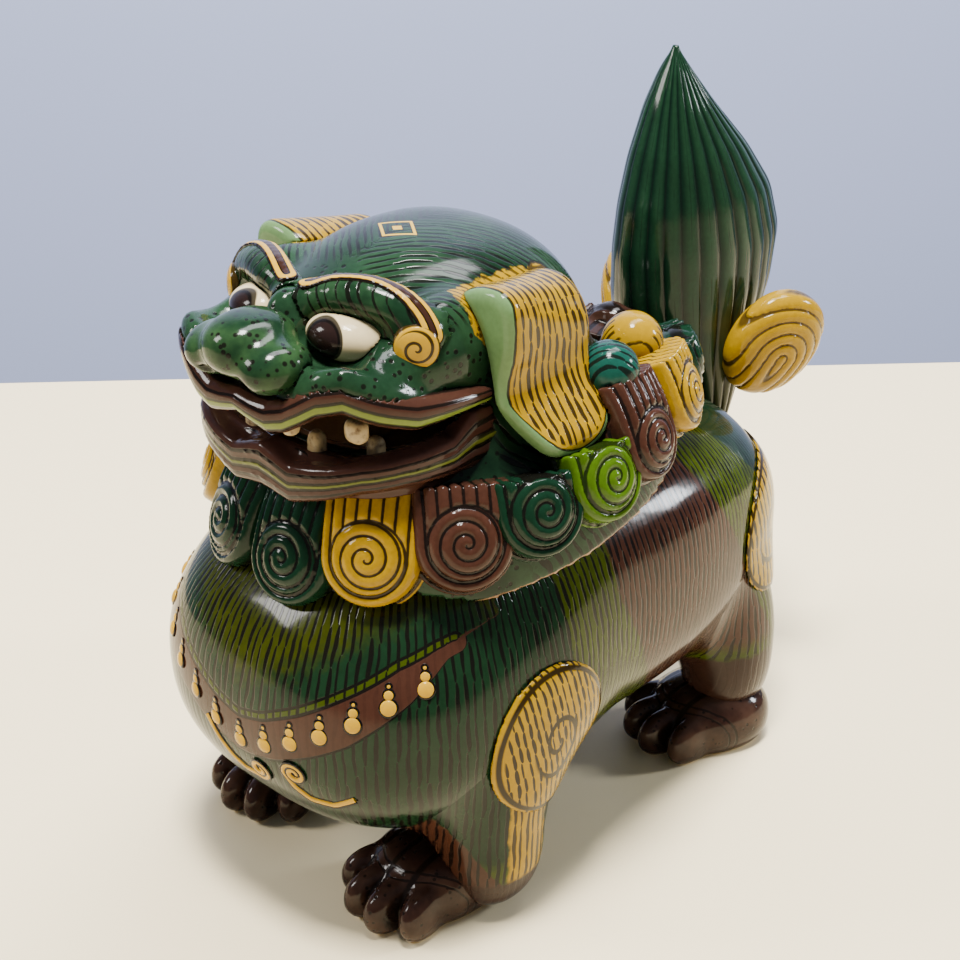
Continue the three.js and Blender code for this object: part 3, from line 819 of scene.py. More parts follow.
lip_glaze = Glaze("lip_enamels")
height = lip_glaze.read("height") + 0.05 * lip_glaze.cloud(0.15) - 0.025
purple = lip_glaze.enamel(shade(58, 35, 27), 0.35)
green = lip_glaze.enamel(shade(98, 112, 44), 0.3)
edging = lip_glaze.enamel(shade(14, 40, 28))
colour, ink = bands(lip_glaze, height, ((0.17, green), (0.42, purple), (0.68, purple), (0.97, edging)))
lip_glaze.give("Base Color", lip_glaze.mix(0.92 * ink, colour, INK))
mesh = skin("upper_lip", (-41, -95, 134), (41, -42, 159), 0.65, lip_clay)
x, y, z = spots(mesh)
turn, outside = ring(x, y, -57, 38, 35, 2.6)
high, low = level(turn, LIP_TURN, LIP_TOP), level(turn, LIP_TURN, LIP_LOW)
note(mesh, height=np.where(outside > -5.5, (z - low) / (high - low), 0.05))
show(mesh, lip_glaze.gloss(-0.2 * ink), "lid", "aubergine_glaze", "upper_lip")

jaw_glaze = Glaze("jaw_enamels")
height = jaw_glaze.read("height") + 0.05 * jaw_glaze.cloud(0.15) - 0.025
purple, green = jaw_glaze.enamel(shade(60, 38, 32), 0.35), jaw_glaze.enamel(shade(88, 94, 34), 0.3)
colour, ink = bands(jaw_glaze, height, ((0.2, purple), (0.4, green), (0.56, purple), (0.78, purple)))
throat = jaw_glaze.read("within").ramp(2.5, 7.0)
colour = jaw_glaze.mix(throat, colour, jaw_glaze.enamel(shade(40, 26, 22)))
ink = ink * jaw_glaze.read("within").ramp(1.5, 0.5)
ink = ink.most(abs(jaw_glaze.read("gum")).ramp(0.5, 0.25))
jaw_glaze.give("Base Color", jaw_glaze.mix(0.92 * ink, colour, INK))
mesh = skin("lower_jaw", (-41, -89, 115), (41, -40, 143), 0.7, jaw_clay)
x, y, z = spots(mesh)
turn, outside = ring(x, y, -53, 37.5, 33, 2.9)
high, low = level(turn, JAW_TURN, JAW_TOP), level(turn, JAW_TURN, JAW_LOW)
gum = np.min([np.abs(np.hypot(turn - t, (z - 127) * 3) - 9) / 3.0 for t in (-42, -17, 17, 42)], 0)
note(mesh, height=(z - low) / (high - low), within=-outside - 3.8, gum=gum + np.abs(outside + 6) * 0.6)
show(mesh, jaw_glaze.gloss(-0.2 * ink), "lid", "aubergine_glaze", "lower_jaw")

# ---------------------------------------------------------------------------------------------
# The teeth. Small pegs of clay, squarish above and set on round gums below, in cream glaze
# that has picked up a little brown.
# ---------------------------------------------------------------------------------------------
tooth_glaze = Glaze("tooth_glaze")
ivory, stain = tooth_glaze.enamel(shade(168, 148, 112), 0.4), tooth_glaze.enamel(shade(96, 74, 56), 0.3)
tooth_glaze.give("Base Color", tooth_glaze.mix(tooth_glaze.cloud(0.7).ramp(0.45, 0.8), ivory, stain))
tooth_glaze.gloss()
TEETH = (("upper_canine", (2.2, 2.0, 3.2), 139.6), ("upper_side_tooth", (3.0, 2.0, 2.8), 139.0),
         ("lower_fang", (2.2, 2.0, 4.6), 130.4), ("lower_side_fang", (2.1, 2.0, 4.2), 130.8))
for hand in ("left", "right"):
    for kind, size, drop in TEETH:
        at = where(f"{kind}_{hand}")[0]
        inward = np.array([0, -57, 0]) - at
        inward = inward / np.hypot(*inward[:2]) * (3.0 if "upper" in kind else 4.0)
        at = np.array([at[0] + inward[0], at[1] + inward[1], drop])
        mesh = skin(f"{kind}_{hand}", at - (5, 5, 8), at + (5, 5, 8), 0.4,
                    lambda x, y, z: ball(x, y, z, at, size, 3.0, 3.2))
        show(mesh, tooth_glaze.material, "lid", "cream_glaze", f"{kind}_{hand}")

# ---------------------------------------------------------------------------------------------
# The eyes and brows. Each eye is a smooth cream almond with a painted pupil, luted into its
# socket; a thick roll of clay arches over it, dark green with black strokes.
# ---------------------------------------------------------------------------------------------
eye_glaze = Glaze("eye_enamels")
pupil = eye_glaze.read("pupil")
colour = eye_glaze.mix(pupil.ramp(0.04, -0.04), eye_glaze.enamel(shade(206, 188, 146), 0.12),
                       eye_glaze.enamel(shade(30, 20, 18), 0.2))
ink = abs(pupil).ramp(0.16, 0.1).most(eye_glaze.read("edge").ramp(0.35, 0.1))
eye_glaze.give("Base Color", eye_glaze.mix(0.95 * ink, colour, INK))
eye_glaze.gloss()
brow_glaze = Glaze("brow_enamels")
green = brow_glaze.mottle(0.1, shade(16, 38, 23), shade(36, 62, 38))
ink = brow_glaze.strokes(brow_glaze.read("across"), brow_glaze.read("along"), 2.9, 16.0, 0.42)
brow_glaze.give("Base Color", brow_glaze.mix(0.9 * ink, green, INK))
brow_glaze.gloss(-0.3 * ink)


def eased(corners, count, width):
    """A path of count points through its corners, each point the mean of a width of neighbours."""
    steps = np.linspace(0, len(corners) - 1, count)
    fine = [np.interp(steps, range(len(corners)), line) for line in np.array(corners, float).T]
    pad, mean = (width - 1) // 2, np.ones(width) / width
    return np.stack([np.convolve(np.pad(line, pad, "edge"), mean, "valid") for line in fine], 1)


BROW_LINE = eased([(4.2, -70, 164), (11, -68.5, 165.6), (18, -65.5, 165.8), (25, -62.5, 164),
                   (30, -60.5, 159)], 33, 7)
BROW_THICK = np.interp(np.linspace(0, 4, 33), range(5), [3.8, 4.9, 5.2, 5.0, 4.6])


def brow_roll(x, y, z, side):
    form = np.float32(1e3)
    for (a, b, c), thick in zip(BROW_LINE[::2], BROW_THICK[::2]):
        form = np.minimum(form, np.sqrt((side * x - a) ** 2 + (y - b) ** 2 + 1.1 * (z - c) ** 2) - thick)
    return form


for hand, side in (("left", 1), ("right", -1)):
    at = np.array([side * 15.0, -70.5, 157.2])
    facing = 24 * side
    size = np.array([9.6, 7.0, 5.6])

    def eye_clay(x, y, z):
        u, v, w = turned(x, y, z, at, facing, -8, 8 * side)
        almond = ball(u, v, w, (0, 0, 0), size, 2.0, 2.0)
        return np.maximum(almond, np.maximum(0.1 - head(x, y, z), 0.1 - brow_roll(x, y, z, side)))

    mesh = skin(f"eye_{hand}", at - (13, 12, 10), at + (13, 12, 10), 0.5, eye_clay)
    x, y, z = spots(mesh)
    u, v, w = turned(x, y, z, at, facing, -8, 8 * side)
    outside = np.minimum(head(x, y, z), brow_roll(x, y, z, side))
    note(mesh, pupil=np.hypot((u * side + 3.0) / 4.6, (w + 0.2) / 4.4) - 1, edge=outside - 0.15)
    show(mesh, eye_glaze.material, "lid", "cream_glaze", f"eye_{hand}")

    def brow_clay(x, y, z):
        roll = brow_roll(x, y, z, side)
        skull = head(x, y, z)
        joined = melt(roll, skull, 5)
        cut = np.maximum(np.maximum(0.12 - (skull - joined), 0.2 - skull), 0.15 - side * x)
        return np.maximum(joined, cut)

    low, high = (min(0, side * 48), -84, 148), (max(0, side * 48), -48, 178)
    mesh = skin(f"brow_{hand}", low, high, 0.7, brow_clay)
    x, y, z = spots(mesh)
    note(mesh, across=side * x + 0.55 * (z - 165), along=y - z)
    show(mesh, brow_glaze.material, "lid", "green_glaze", f"brow_{hand}")


# ---------------------------------------------------------------------------------------------
# The brow ribbons and temple discs. A strip of raised enamel, brown with a yellow stripe along
# each edge, lies along the brow's roll; it ends on a small coiled yellow disc over the temple.
# ---------------------------------------------------------------------------------------------
ribbon_glaze = Glaze("brow_ribbon_enamels")
lateral = abs(ribbon_glaze.read("lateral"))
stripe = abs(lateral - 0.62).ramp(0.24, 0.18)
rim = lateral.ramp(0.88, 0.94).most(abs(lateral - 0.36).ramp(0.07, 0.03))
colour = ribbon_glaze.mix(stripe, shade(46, 28, 20), ribbon_glaze.enamel(shade(188, 146, 34), 0.25))
ribbon_glaze.give("Base Color", ribbon_glaze.mix(rim, colour, INK))
ribbon_glaze.gloss(0.3 * stripe)
spiral_glaze = Glaze("temple_disc_enamels")
u, v = spiral_glaze.read("u"), spiral_glaze.read("v")
reach = (u * u + v * v) ** 0.5
turns = abs((reach / 2.7 - v.turns(u) + 0.15).part() - 0.5)
ink = (turns.ramp(0.17, 0.1) * reach.ramp(4.6, 4.2)).most(reach.ramp(4.9, 5.2))
colour = spiral_glaze.enamel(shade(180, 140, 30), 0.3)
spiral_glaze.give("Base Color", spiral_glaze.mix(0.95 * ink, colour, INK))
spiral_glaze.gloss(-0.3 * ink)
RIBBON = eased([(2.6, -71.5, 167), (8, -69, 169.4), (13.5, -66.5, 170.8), (19, -64, 170.4),
                (24.5, -62, 168.6), (29.5, -61.5, 165.6), (33, -61.6, 163), (34.8, -62, 160)], 40, 9)
RIBBON_HALF = 2.6
for hand, side in (("left", 1), ("right", -1)):
    path = RIBBON * (side, 1, 1)
    for point in path:
        for _ in range(12):
            gap = np.minimum(brow_roll(*point, side), head(*point)) - 0.2
            lift = np.array([0.6 * side * (point[0] * side > 25), -0.7, 1.0])
            point -= lift / np.linalg.norm(lift) * gap * 0.8

    def ribbon_clay(x, y, z):
        ground = melt(head(x, y, z), brow_roll(x, y, z, side), 5)
        spot = np.stack([part.ravel() for part in np.broadcast_arrays(x, y, z)], 1)
        off = beside(spot, path)[1].reshape(ground.shape)
        return np.maximum(np.maximum(ground - 0.6, -0.5 - ground), off - RIBBON_HALF)

    mesh = skin(f"brow_ribbon_{hand}", path.min(0) - 4, path.max(0) + 4, 0.5, ribbon_clay)
    note(mesh, lateral=beside(np.stack(spots(mesh), 1), path)[1] / RIBBON_HALF)
    show(mesh, ribbon_glaze.material, "lid", "brown_glaze")
    at = np.array([31.5 * side, -64.4, 157.4])

    def disc_clay(x, y, z):
        u, v, w = turned(x, y, z, at, 43 * side, 0, 0)
        return ball(u, v, w, (0, 0.6, 0), (5.4, 2.6, 5.4), 2.2, 2.2)

    mesh = skin(f"temple_disc_{hand}", at - 9, at + 9, 0.45, disc_clay)
    x, y, z = spots(mesh)
    u, v, w = turned(x, y, z, at, 43 * side)
    note(mesh, u=u * side, v=w)
    show(mesh, spiral_glaze.material, "lid", "yellow_glaze")

# ---------------------------------------------------------------------------------------------
# The ears. Thick leaves of clay that leave the skull level, fold over and hang with the tip
# kicked out; yellow with long black dashes outside, celadon inside and round the edge.
# ---------------------------------------------------------------------------------------------
EAR_FRONT = np.array([(24, 161), (28.5, 165.8), (34, 168), (40.4, 168.4), (44.2, 165.4), (45, 160),
                      (44.6, 153), (42.6, 147), (42.2, 143), (43.8, 138.6), (47.6, 133.6), (51, 128.6),
                      (49.4, 125), (45.4, 126.6), (41.4, 132), (38.6, 138), (37.4, 144), (36.2, 150),
                      (34.2, 156), (31.5, 160), (28, 160)], float)
EAR_BACK = np.array([(21, 160), (26, 163.5), (32, 164.8), (37.5, 163.4), (41.6, 159.5), (43.4, 155),
                     (43.8, 151), (43.8, 147), (44.6, 143), (46.6, 139), (49.6, 135), (52.8, 130.4),
                     (52.2, 125.4), (48.6, 124.2), (46.2, 127.4), (44.4, 132.6), (41.6, 138), (39.4, 143),
                     (38.0, 148), (35.5, 153), (28, 157)], float)
EAR_SPINE = np.array([(25, 0, 164), (38, 0, 168.5), (46, 0, 165.5), (48, 0, 158), (47, 0, 150), (46, 0, 143),
                      (50, 0, 135), (53, 0, 128)], float)


def outline(x, z, corners):
    """Distance outside a closed outline in the XZ plane."""
    plane = np.broadcast_shapes(x.shape, z.shape)
    off, inside = np.full(plane, 1e9), np.zeros(plane, bool)
    for (a, b), (c, d) in zip(corners, np.roll(corners, -1, 0)):
        part = np.clip(((x - a) * (c - a) + (z - b) * (d - b)) / ((c - a) ** 2 + (d - b) ** 2), 0, 1)
        off = np.minimum(off, np.hypot(x - a - part * (c - a), z - b - part * (d - b)))
        if b != d:
            inside ^= ((b > z) != (d > z)) & (x < (c - a) * (z - b) / (d - b) + a)
    return np.where(inside, -off, off)


def rounded(corners):
    """The same outline with its corners eased."""
    turns = np.arange(0, len(corners), 0.25)
    index = np.floor(turns).astype(int)
    part = (turns - index)[:, None]
    fine = corners[index] * (1 - part) + corners[(index + 1) % len(corners)] * part
    for _ in range(3):
        fine = (fine + np.roll(fine, 1, 0) + np.roll(fine, -1, 0)) / 3
    return fine


ear_glaze = Glaze("ear_enamels")
dashes = ear_glaze.strokes(ear_glaze.read("across"), ear_glaze.read("along"), 2.35, 7.0, 0.52)
edge = ear_glaze.read("edge") + 0.9 * ear_glaze.cloud(0.2) - 0.45
inner = ear_glaze.enamel(CELADON, 0.35)
colour = ear_glaze.mix(edge.ramp(-0.15, 0.15), inner, ear_glaze.enamel(YELLOW, 0.35))
ink = (dashes * edge.ramp(0.9, 1.6)).most(abs(edge).ramp(0.42, 0.22))
ear_glaze.give("Base Color", ear_glaze.mix(0.93 * ink, colour, INK))
ear_glaze.gloss(-0.25 * ink)
for hand, side in (("left", 1), ("right", -1)):
    def ear_clay(x, y, z):
        part = np.clip((y + 46.5) / 29, 0, 1)
        hang = np.clip((148 - z) / 20, 0, 1) * (5.0 * (1 - (2 * part - 1.15) ** 2) - 1.0)
        front, back = (outline(side * x[:, 0, :], z[:, 0, :], rounded(end)) for end in (EAR_FRONT, EAR_BACK))
        leaf = front[:, None, :] * (1 - part) + back[:, None, :] * part
        cut = np.maximum(-47.5 - y, y + 16.5) + 0 * z
        tip = 126.5 - z - hang * 1.0 + 7.0 * np.abs(2 * part - 1.1) ** 2.4
        solid = -melt(-leaf, -cut, 4.0)
        solid = -melt(-solid, -tip + 0 * x, 5.0)
        return np.maximum(solid, 0.15 - head(x, y, z))

    low, high = (min(side * 19, side * 60), -57, 114), (max(side * 19, side * 60), -11, 177)
    mesh = skin(f"ear_{hand}", low, high, 0.72, ear_clay)
    x, y, z = spots(mesh)
    run, off = beside(np.stack([side * x, 0 * y, z], 1), EAR_SPINE)
    part = np.clip((y + 46.5) / 29, 0, 1)
    skins, tops = ([np.interp(-z, -end[4:12, 1], end[4:12, 0]) for end in (EAR_FRONT, EAR_BACK)],
                   [np.interp(side * x, end[:5, 0], end[:5, 1]) for end in (EAR_FRONT, EAR_BACK)])
    skin_x, top = (row[0] * (1 - part) + row[1] * part for row in (skins, tops))
    deep = np.where(z > 158, np.minimum(top - z, skin_x - side * x), skin_x - side * x)
    tip = z - (126.5 - 5.0 * (1 - (2 * part - 1.15) ** 2) + 1.0 + 7.0 * np.abs(2 * part - 1.1) ** 2.4)
    edge = np.minimum(np.minimum(y + 45.4, 2.6 - deep), np.minimum(tip - 4.6, (-18.0 - y) + 3.0 * (z > 145)))
    note(mesh, across=y + 0.08 * z, along=run, edge=edge)
    show(mesh, ear_glaze.material, "lid", "yellow_glaze", f"ear_{hand}")

# ---------------------------------------------------------------------------------------------
# The mane. Sixteen tongues of clay set side by side round the skirt, each with a coiled disc at
# its lower end and strands running up from it; green, yellow, aubergine, olive and brown glazes.
# ---------------------------------------------------------------------------------------------
COILS = 2.9


def coil_field(u, v, pitch):
    """How far off the nearest groove is: coiled inside the disc, level strands outside it."""
    reach, disc = np.hypot(u, v) + 1e-3, COILS * pitch
    swirl = (reach / pitch - np.arctan2(v, u) / (2 * math.pi)) % 1
    strand = (np.where(v > 0, np.abs(u), reach) / pitch + 0.5) % 1
    inside = np.abs(swirl - 0.5) * pitch
    outside = np.minimum(np.abs(strand - 0.5) * pitch, np.abs(reach - disc))
    return np.where(reach < disc, np.minimum(inside, np.abs(reach - disc)), outside)


def curl_finish(name, base, dark=INK):
    glaze = Glaze(name)
    u, v, pitch = glaze.read("u"), glaze.read("v"), glaze.read("pitch")
    reach = (u * u + v * v) ** 0.5
    disc = COILS * pitch
    within = reach.ramp(0.0, 0.01) * (disc - reach).ramp(-0.05, 0.05)
    swirl = abs((reach / pitch - v.turns(u)).part() - 0.5) * pitch
    above = v.ramp(-0.05, 0.05)
    lane = abs(u) * above + reach * (1.0 - above)
    strand = abs((lane / pitch + 0.5).part() - 0.5) * pitch
    off = (swirl * within + strand * (1.0 - within)).least(abs(reach - disc))
    ink = (off + 0.25 * glaze.cloud(0.5) - 0.12).ramp(0.48, 0.26)
    colour = glaze.enamel(base, 0.5)
    colour = glaze.mix(0.93 * ink, colour, dark)
    hem = glaze.read("hem").ramp(0.5, 0.1)
    glaze.give("Base Color", glaze.mix(hem, colour, shade(196, 184, 148)))
    return glaze.gloss(-0.3 * ink)


FINISHES = {"green": (curl_finish("mane_green", shade(12, 38, 24)), "green_glaze"),
            "yellow": (curl_finish("mane_yellow", YELLOW), "yellow_glaze"),
            "aubergine": (curl_finish("mane_aubergine", AUBERGINE), "aubergine_glaze"),
            "olive": (curl_finish("mane_olive", shade(58, 86, 8), shade(18, 27, 7)), "olive_glaze"),
            "brown": (curl_finish("mane_brown", shade(48, 31, 24)), "brown_glaze")}
MANE = {"front": (7, 102.3, 1.0, "green"), "1_left": (28, 106.7, 1.0, "yellow"),
        "2_left": (49, 110.7, 1.0, "aubergine"), "3_left": (66, 116.0, 0.96, "green"),
        "4_left": (83, 119.5, 0.93, "olive"), "5_left": (98, 124.0, 0.88, "aubergine"),
        "6_left": (118, 128.0, 0.86, "yellow"), "7_left": (142, 129.0, 0.86, "green"),
        "1_right": (-18, 103.0, 1.0, "green"), "2_right": (-41, 109.0, 1.0, "yellow"),
        "3_right": (-60, 113.5, 0.96, "green"), "4_right": (-79, 118.5, 0.93, "olive"),
        "5_right": (-98, 124.0, 0.88, "aubergine"), "6_right": (-119, 128.0, 0.86, "yellow"),
        "7_right": (-142, 129.0, 0.86, "green"), "back": (180, 124.0, 0.86, "brown")}
TALL = [35, 49, 66, 83, 98, 118, 142, 180], [33, 27, 22, 22, 32, 27, 20, 18]
for name, (around, height, size, finish) in MANE.items():
    angle = math.radians(around)
    at = np.array([56.0 * math.sin(angle), -18 - 65.0 * math.cos(angle), height])
    facing = math.degrees(math.atan2((at[1] + 18) / 65 ** 2, at[0] / 56 ** 2)) + 90
    tall = size * np.interp(abs(around), *TALL)
    wide, deep, pitch = 13.2 * size, 7.6 * size, 3.1 * size
    near_ear, side = 60 <= abs(around) <= 120, math.copysign(1, around)

    def curl_clay(x, y, z):
        u, v, w = turned(x, y, z, at, facing, -20)
        u, up = u + 0 * w, w
        out = -v + 0.012 * np.clip(up - 4, 0, None) ** 2
        taper = wide * (1 - 0.12 * np.clip(up / tall, 0, 1))
        reach = np.hypot(u, np.minimum(up, 0))
        form = ((reach / taper) ** 2.6 + np.abs((out + 3.2) / (deep + 0.8)) ** 2.6) ** (1 / 2.6)
        form = (form - 1) * deep
        form = np.maximum(form, up - tall + wide)
        bump = np.sqrt(u * u + up * up + (out * 1.6 + 1.0) ** 2) - 9.4 * size
        form = melt(form, bump, 2.0)
        groove = coil_field(u, up, pitch)
        form = form + 0.75 * np.exp(-(groove / 0.62) ** 2) * (out > -3)
        if near_ear:
            form = np.maximum(form, 0.4 - ear_clay(x, y, z))
        return np.maximum(np.maximum(form, 0.35 - belly(x, y, z)), -1.4 - head(x, y, z))

    mesh = skin(f"mane_curl_{name}", at - (19, 19, 17), at + (19, 19, 26), 0.62, curl_clay)
    x, y, z = spots(mesh)
    u, v, w = turned(x, y, z, at, facing, -20)
    note(mesh, u=u, v=w, pitch=np.full(len(u), pitch), hem=belly(x, y, z))
    show(mesh, FINISHES[finish][0], "lid", FINISHES[finish][1], f"mane_curl_{name}")

# ---------------------------------------------------------------------------------------------
# The collar of the bib. A row of gourd pendants trailed in raised yellow enamel, each on a black
# outline, hangs from the hem; two scrolls of the same enamel sweep across the chest below them.
# ---------------------------------------------------------------------------------------------
def swept(name, paths, wide, thick, glaze):
    """Trail of enamel along paths on a surface: a flat oval swept along each one."""
    points = np.concatenate(paths)
    edges, start = [], 0
    for path in paths:
        edges += [(start + i, start + i + 1) for i in range(len(path) - 1)]
        start += len(path)
    guide = bpy.data.meshes.new(name + "_path")
    guide.from_pydata(((points + (0, SHIFT, 0)) / 1000).tolist(), edges, [])
    holder = bpy.data.objects.new(name + "_path", guide)
    bpy.context.scene.collection.objects.link(holder)
    tree = bpy.data.node_groups.new(name, "GeometryNodeTree")
    face = tree.interface
    face.new_socket("Path", in_out="INPUT", socket_type="NodeSocketGeometry")
    sizes = {label: face.new_socket(label, in_out="INPUT", socket_type="NodeSocketFloat").identifier
             for label in ("Half width", "Half thickness")}
    face.new_socket("Trail", in_out="OUTPUT", socket_type="NodeSocketGeometry")
    graph = Graph(tree)
    given = tree.nodes.new("NodeGroupInput")
    path, half_width, half_thick = (Wire(graph, given.outputs[i]) for i in range(3))
    curve = graph.node("GeometryNodeMeshToCurve", {}, {"Mesh": path})
    curve = graph.node("GeometryNodeSetCurveRadius", {}, {"Curve": curve, "Radius": 1.0})
    oval = graph.node("GeometryNodeCurvePrimitiveCircle", {"mode": "RADIUS"},
                      {"Resolution": 14, "Radius": 1.0})
    scale = graph.node("ShaderNodeCombineXYZ", {}, {0: half_thick, 1: half_width, 2: 1.0})
    oval = graph.node("GeometryNodeTransform", {}, {"Geometry": oval, "Scale": scale})
    trail = graph.node("GeometryNodeCurveToMesh", {},
                       {"Curve": curve, "Profile Curve": oval, "Fill Caps": True})
    trail = graph.node("GeometryNodeRealizeInstances", {}, {"Geometry": trail})
    trail = graph.node("GeometryNodeSetMaterial", {}, {"Geometry": trail, "Material": glaze.material})
    graph.feed(tree.nodes.new("NodeGroupOutput").inputs[0], trail)
    sweep = holder.modifiers.new("sweep", "NODES")
    sweep.node_group = tree
    sweep[sizes["Half width"]], sweep[sizes["Half thickness"]] = wide / 1000, thick / 1000
    made = bpy.data.meshes.new_from_object(holder.evaluated_get(bpy.context.evaluated_depsgraph_get()))
    holder.modifiers.clear()
    bpy.data.objects.remove(holder)
    made.name = name
    return made


gourd_yellow, gourd_black = Glaze("pendant_enamel"), Glaze("outline_enamel")
gourd_yellow.give("Base Color", gourd_yellow.enamel(shade(184, 142, 26), 0.3))
gourd_black.give("Base Color", gourd_black.enamel(INK, 0.2))
gourd_yellow.gloss()
gourd_black.gloss()
run = np.concatenate([[0], np.cumsum(np.linalg.norm(np.diff(HEM, axis=0), axis=1))])
marks = np.interp(1, hem_turns, run) + 9.4 * np.arange(-6, 7)
marks = marks[(marks > 2) & (marks < run[-1] - 5)]
hang_turn = np.interp(marks, run, hem_turns)
tops = on_belly(hang_turn, bib_height(hang_turn) - 1.2, 0.15)
lows = on_belly(hang_turn, bib_height(hang_turn) - 9.2, 0.15)


def pendants():
    """Instances of one gourd on a row of points, turned to lie on the pot's skin."""
    down = (lows - tops) / np.linalg.norm(lows - tops, axis=1, keepdims=True)
    out = np.cross(down, np.cross((tops + lows) / 2 - (0, -36, 66), down))
    out /= np.linalg.norm(out, axis=1, keepdims=True)
    turns = [Matrix(np.stack([np.cross(-d, o), -d, o], 1).tolist()).to_euler() for d, o in zip(down, out)]
    row = bpy.data.meshes.new("pendant_row")
    row.from_pydata(((tops + (0, SHIFT, 0)) / 1000).tolist(), [], [])
    layer = row.attributes.new("hang", "FLOAT_VECTOR", "POINT")
    layer.data.foreach_set("vector", np.array([tuple(t) for t in turns], np.float32).ravel())
    holder = bpy.data.objects.new("pendant_row", row)
    bpy.context.scene.collection.objects.link(holder)
    tree = bpy.data.node_groups.new("pendants", "GeometryNodeTree")
    tree.interface.new_socket("Places", in_out="INPUT", socket_type="NodeSocketGeometry")
    size = tree.interface.new_socket("Gourd size", in_out="INPUT", socket_type="NodeSocketFloat").identifier
    tree.interface.new_socket("Pendants", in_out="OUTPUT", socket_type="NodeSocketGeometry")
    graph = Graph(tree)
    given = tree.nodes.new("NodeGroupInput")
    places, scale = Wire(graph, given.outputs[0]), Wire(graph, given.outputs[1])
    layers = []
    for glaze, swell, flat in ((gourd_black, 1.28, 0.16), (gourd_yellow, 1.0, 0.42)):
        lobes = []
        for drop, radius in ((0.9, 0.55), (3.0, 1.25), (6.0, 2.05)):
            lobe = graph.node("GeometryNodeMeshUVSphere", {},
                              {"Segments": 20, "Rings": 12, "Radius": radius + (swell - 1) * 1.6})
            lobes.append(graph.node("GeometryNodeTransform", {}, {
                "Geometry": lobe, "Translation": (0, -drop, 0), "Scale": (1, 1, flat)}))
        joined = tree.nodes.new("GeometryNodeJoinGeometry")
        for lobe in lobes:
            tree.links.new(lobe.socket, joined.inputs[0])
        smooth = graph.node("GeometryNodeSetShadeSmooth", {}, {0: Wire(graph, joined.outputs[0])})
        layers.append(graph.node("GeometryNodeSetMaterial", {},
                                 {"Geometry": smooth, "Material": glaze.material}))
    gourd = tree.nodes.new("GeometryNodeJoinGeometry")
    for one in layers:
        tree.links.new(one.socket, gourd.inputs[0])
    hang = graph.node("GeometryNodeInputNamedAttribute", {"data_type": "FLOAT_VECTOR"}, {"Name": "hang"})
    placed = graph.node("GeometryNodeInstanceOnPoints", {}, {
        "Points": places, "Instance": Wire(graph, gourd.outputs[0]), "Rotation": hang,
        "Scale": scale * 0.001})
    real = graph.node("GeometryNodeRealizeInstances", {}, {"Geometry": placed})
    graph.feed(tree.nodes.new("NodeGroupOutput").inputs[0], real)
    hung = holder.modifiers.new("pendants", "NODES")
    hung.node_group = tree
    hung[size] = 1.0
    made = bpy.data.meshes.new_from_object(holder.evaluated_get(bpy.context.evaluated_depsgraph_get()))
    holder.modifiers.clear()
    bpy.data.objects.remove(holder)
    made.name = "gourd_pendants"
    return made


show(pendants(), None, "pot", "yellow_glaze")
SCROLLS = []
for turns, heights, coil_at in (((32, 27, 21, 17, 14.5), (49.0, 45.4, 45.2, 48.0, 52.0), (17.5, 52.4)),
                                ((-11, -7.5, -4, 0, 4.5), (56.5, 51.0, 47.0, 44.9, 45.4), (6.0, 48.0))):
    steps = np.linspace(0, len(turns) - 1, 24)
    bearing, rise = (np.interp(steps, range(len(turns)), row) for row in (turns, heights))
    curl = np.linspace(0, 1.5 * 2 * math.pi, 26)[1:]
    start = math.atan2(rise[-1] - coil_at[1], (bearing[-1] - coil_at[0]) * 0.9)
    spin = 1 if turns[0] > 0 else -1
    radius = math.hypot((bearing[-1] - coil_at[0]) * 0.9, rise[-1] - coil_at[1])
    radii = radius * (1 - curl / curl[-1] * 0.75)
    bearing = np.concatenate([bearing, coil_at[0] + radii * np.cos(start - spin * curl) / 0.9])
    rise = np.concatenate([rise, coil_at[1] + radii * np.sin(start - spin * curl)])
    SCROLLS.append(on_belly(bearing, rise, 0.1))
show(swept("chest_scroll_outline", SCROLLS, 1.25, 0.28, gourd_black), None, "pot", "brown_glaze")
show(swept("chest_scroll", SCROLLS, 0.75, 0.5, gourd_yellow), None, "pot", "yellow_glaze")

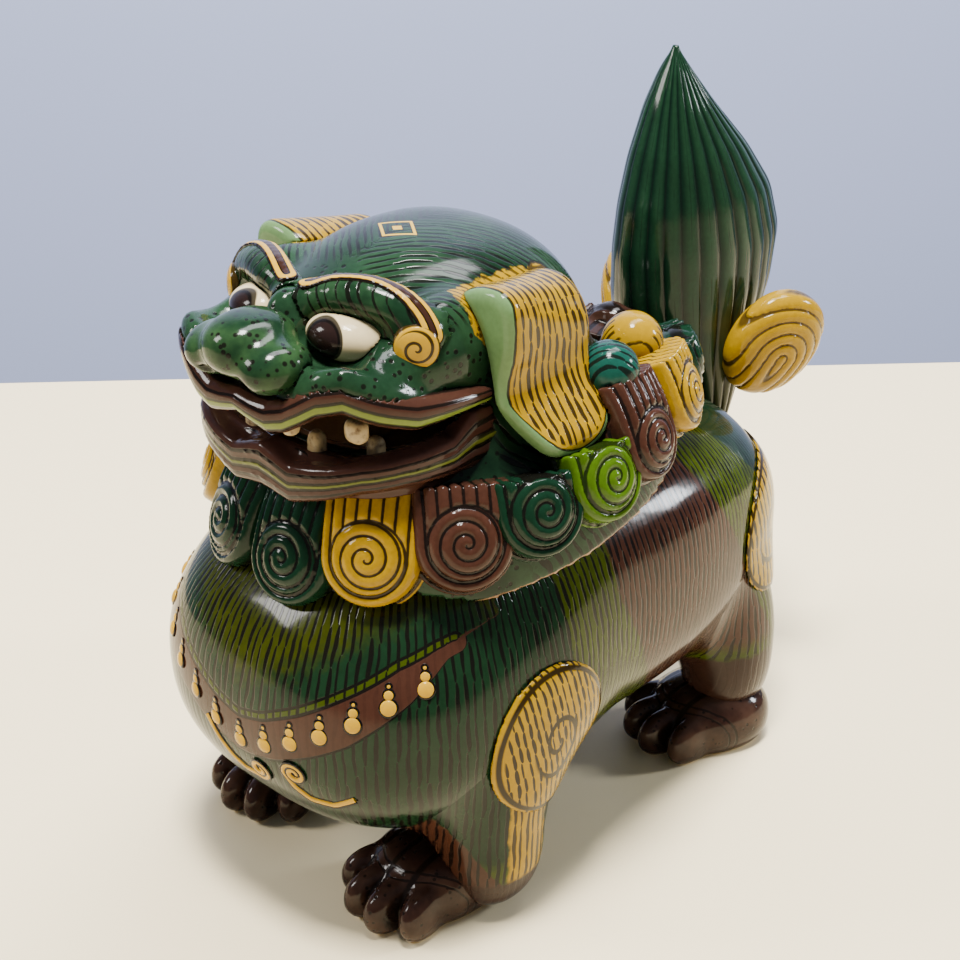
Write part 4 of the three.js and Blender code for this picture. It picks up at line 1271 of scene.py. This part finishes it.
# ---------------------------------------------------------------------------------------------
# The studio. A pale table with a pale blue-grey wall well behind its edge, a window light from the
# right, soft light from above, and a camera looking down on the lion from its left front.
# ---------------------------------------------------------------------------------------------
def backdrop(name, corners, colour):
    mesh = bpy.data.meshes.new(name)
    mesh.from_pydata(corners, [], [(0, 1, 2, 3)])
    surface = Glaze(name, **{"Base Color": colour, "Roughness": 0.6, "Coat Weight": 0.0})
    mesh.materials.append(surface.material)
    board = bpy.data.objects.new(name, mesh)
    bpy.context.scene.collection.objects.link(board)


def lamp(name, at, aim, size, watts, colour):
    light = bpy.data.lights.new(name, "AREA")
    light.shape, light.size, light.size_y, light.energy, light.color = "RECTANGLE", *size, watts, colour
    holder = bpy.data.objects.new(name, light)
    bpy.context.scene.collection.objects.link(holder)
    holder.location = at
    holder.rotation_euler = (Vector(aim) - Vector(at)).to_track_quat("-Z", "Y").to_euler()


TABLE = [(-1.315, -0.951, 0), (0.901, 1.367, 0), (2.49, -0.153, 0), (0.274, -2.471, 0)]
WALL = [(-3.17, -1.68, -2), (0.98, 2.66, -2), (0.98, 2.66, 3.4), (-3.17, -1.68, 3.4)]
backdrop("table", TABLE, shade(246, 229, 188))
backdrop("wall", WALL, shade(186, 196, 232))
lamp("window", (0.66, 0.86, 0.5), (0, 0, 0.09), (0.14, 0.2), 8.0, (0.9, 0.95, 1.0))
lamp("ceiling", (0.1, -0.2, 1.35), (0, 0, 0.08), (0.26, 0.26), 40.0, (1.0, 0.97, 0.92))
lamp("room", (-0.8, -0.9, 0.9), (0, 0, 0.1), (0.3, 0.4), 13.0, (1.0, 0.97, 0.93))
lamp("wash", (0.0, 0.4, 1.6), (-1.1, 0.5, 0.3), (1.2, 0.5), 46.0, (0.98, 0.98, 1.0))
world = bpy.data.worlds.new("studio")
world.use_nodes = True
world.node_tree.nodes["Background"].inputs["Color"].default_value = (0.62, 0.68, 0.8, 1.0)
world.node_tree.nodes["Background"].inputs["Strength"].default_value = 0.3
bpy.context.scene.world = world

lens = bpy.data.cameras.new("camera")
lens.lens, lens.sensor_width = 63.375, 36
camera = bpy.data.objects.new("camera", lens)
bpy.context.scene.collection.objects.link(camera)
camera.location = (0.28170, -0.31191 + SHIFT / 1000, 0.29597)
camera.rotation_euler = (math.radians(64), 0, math.radians(43))
bpy.context.scene.camera = camera
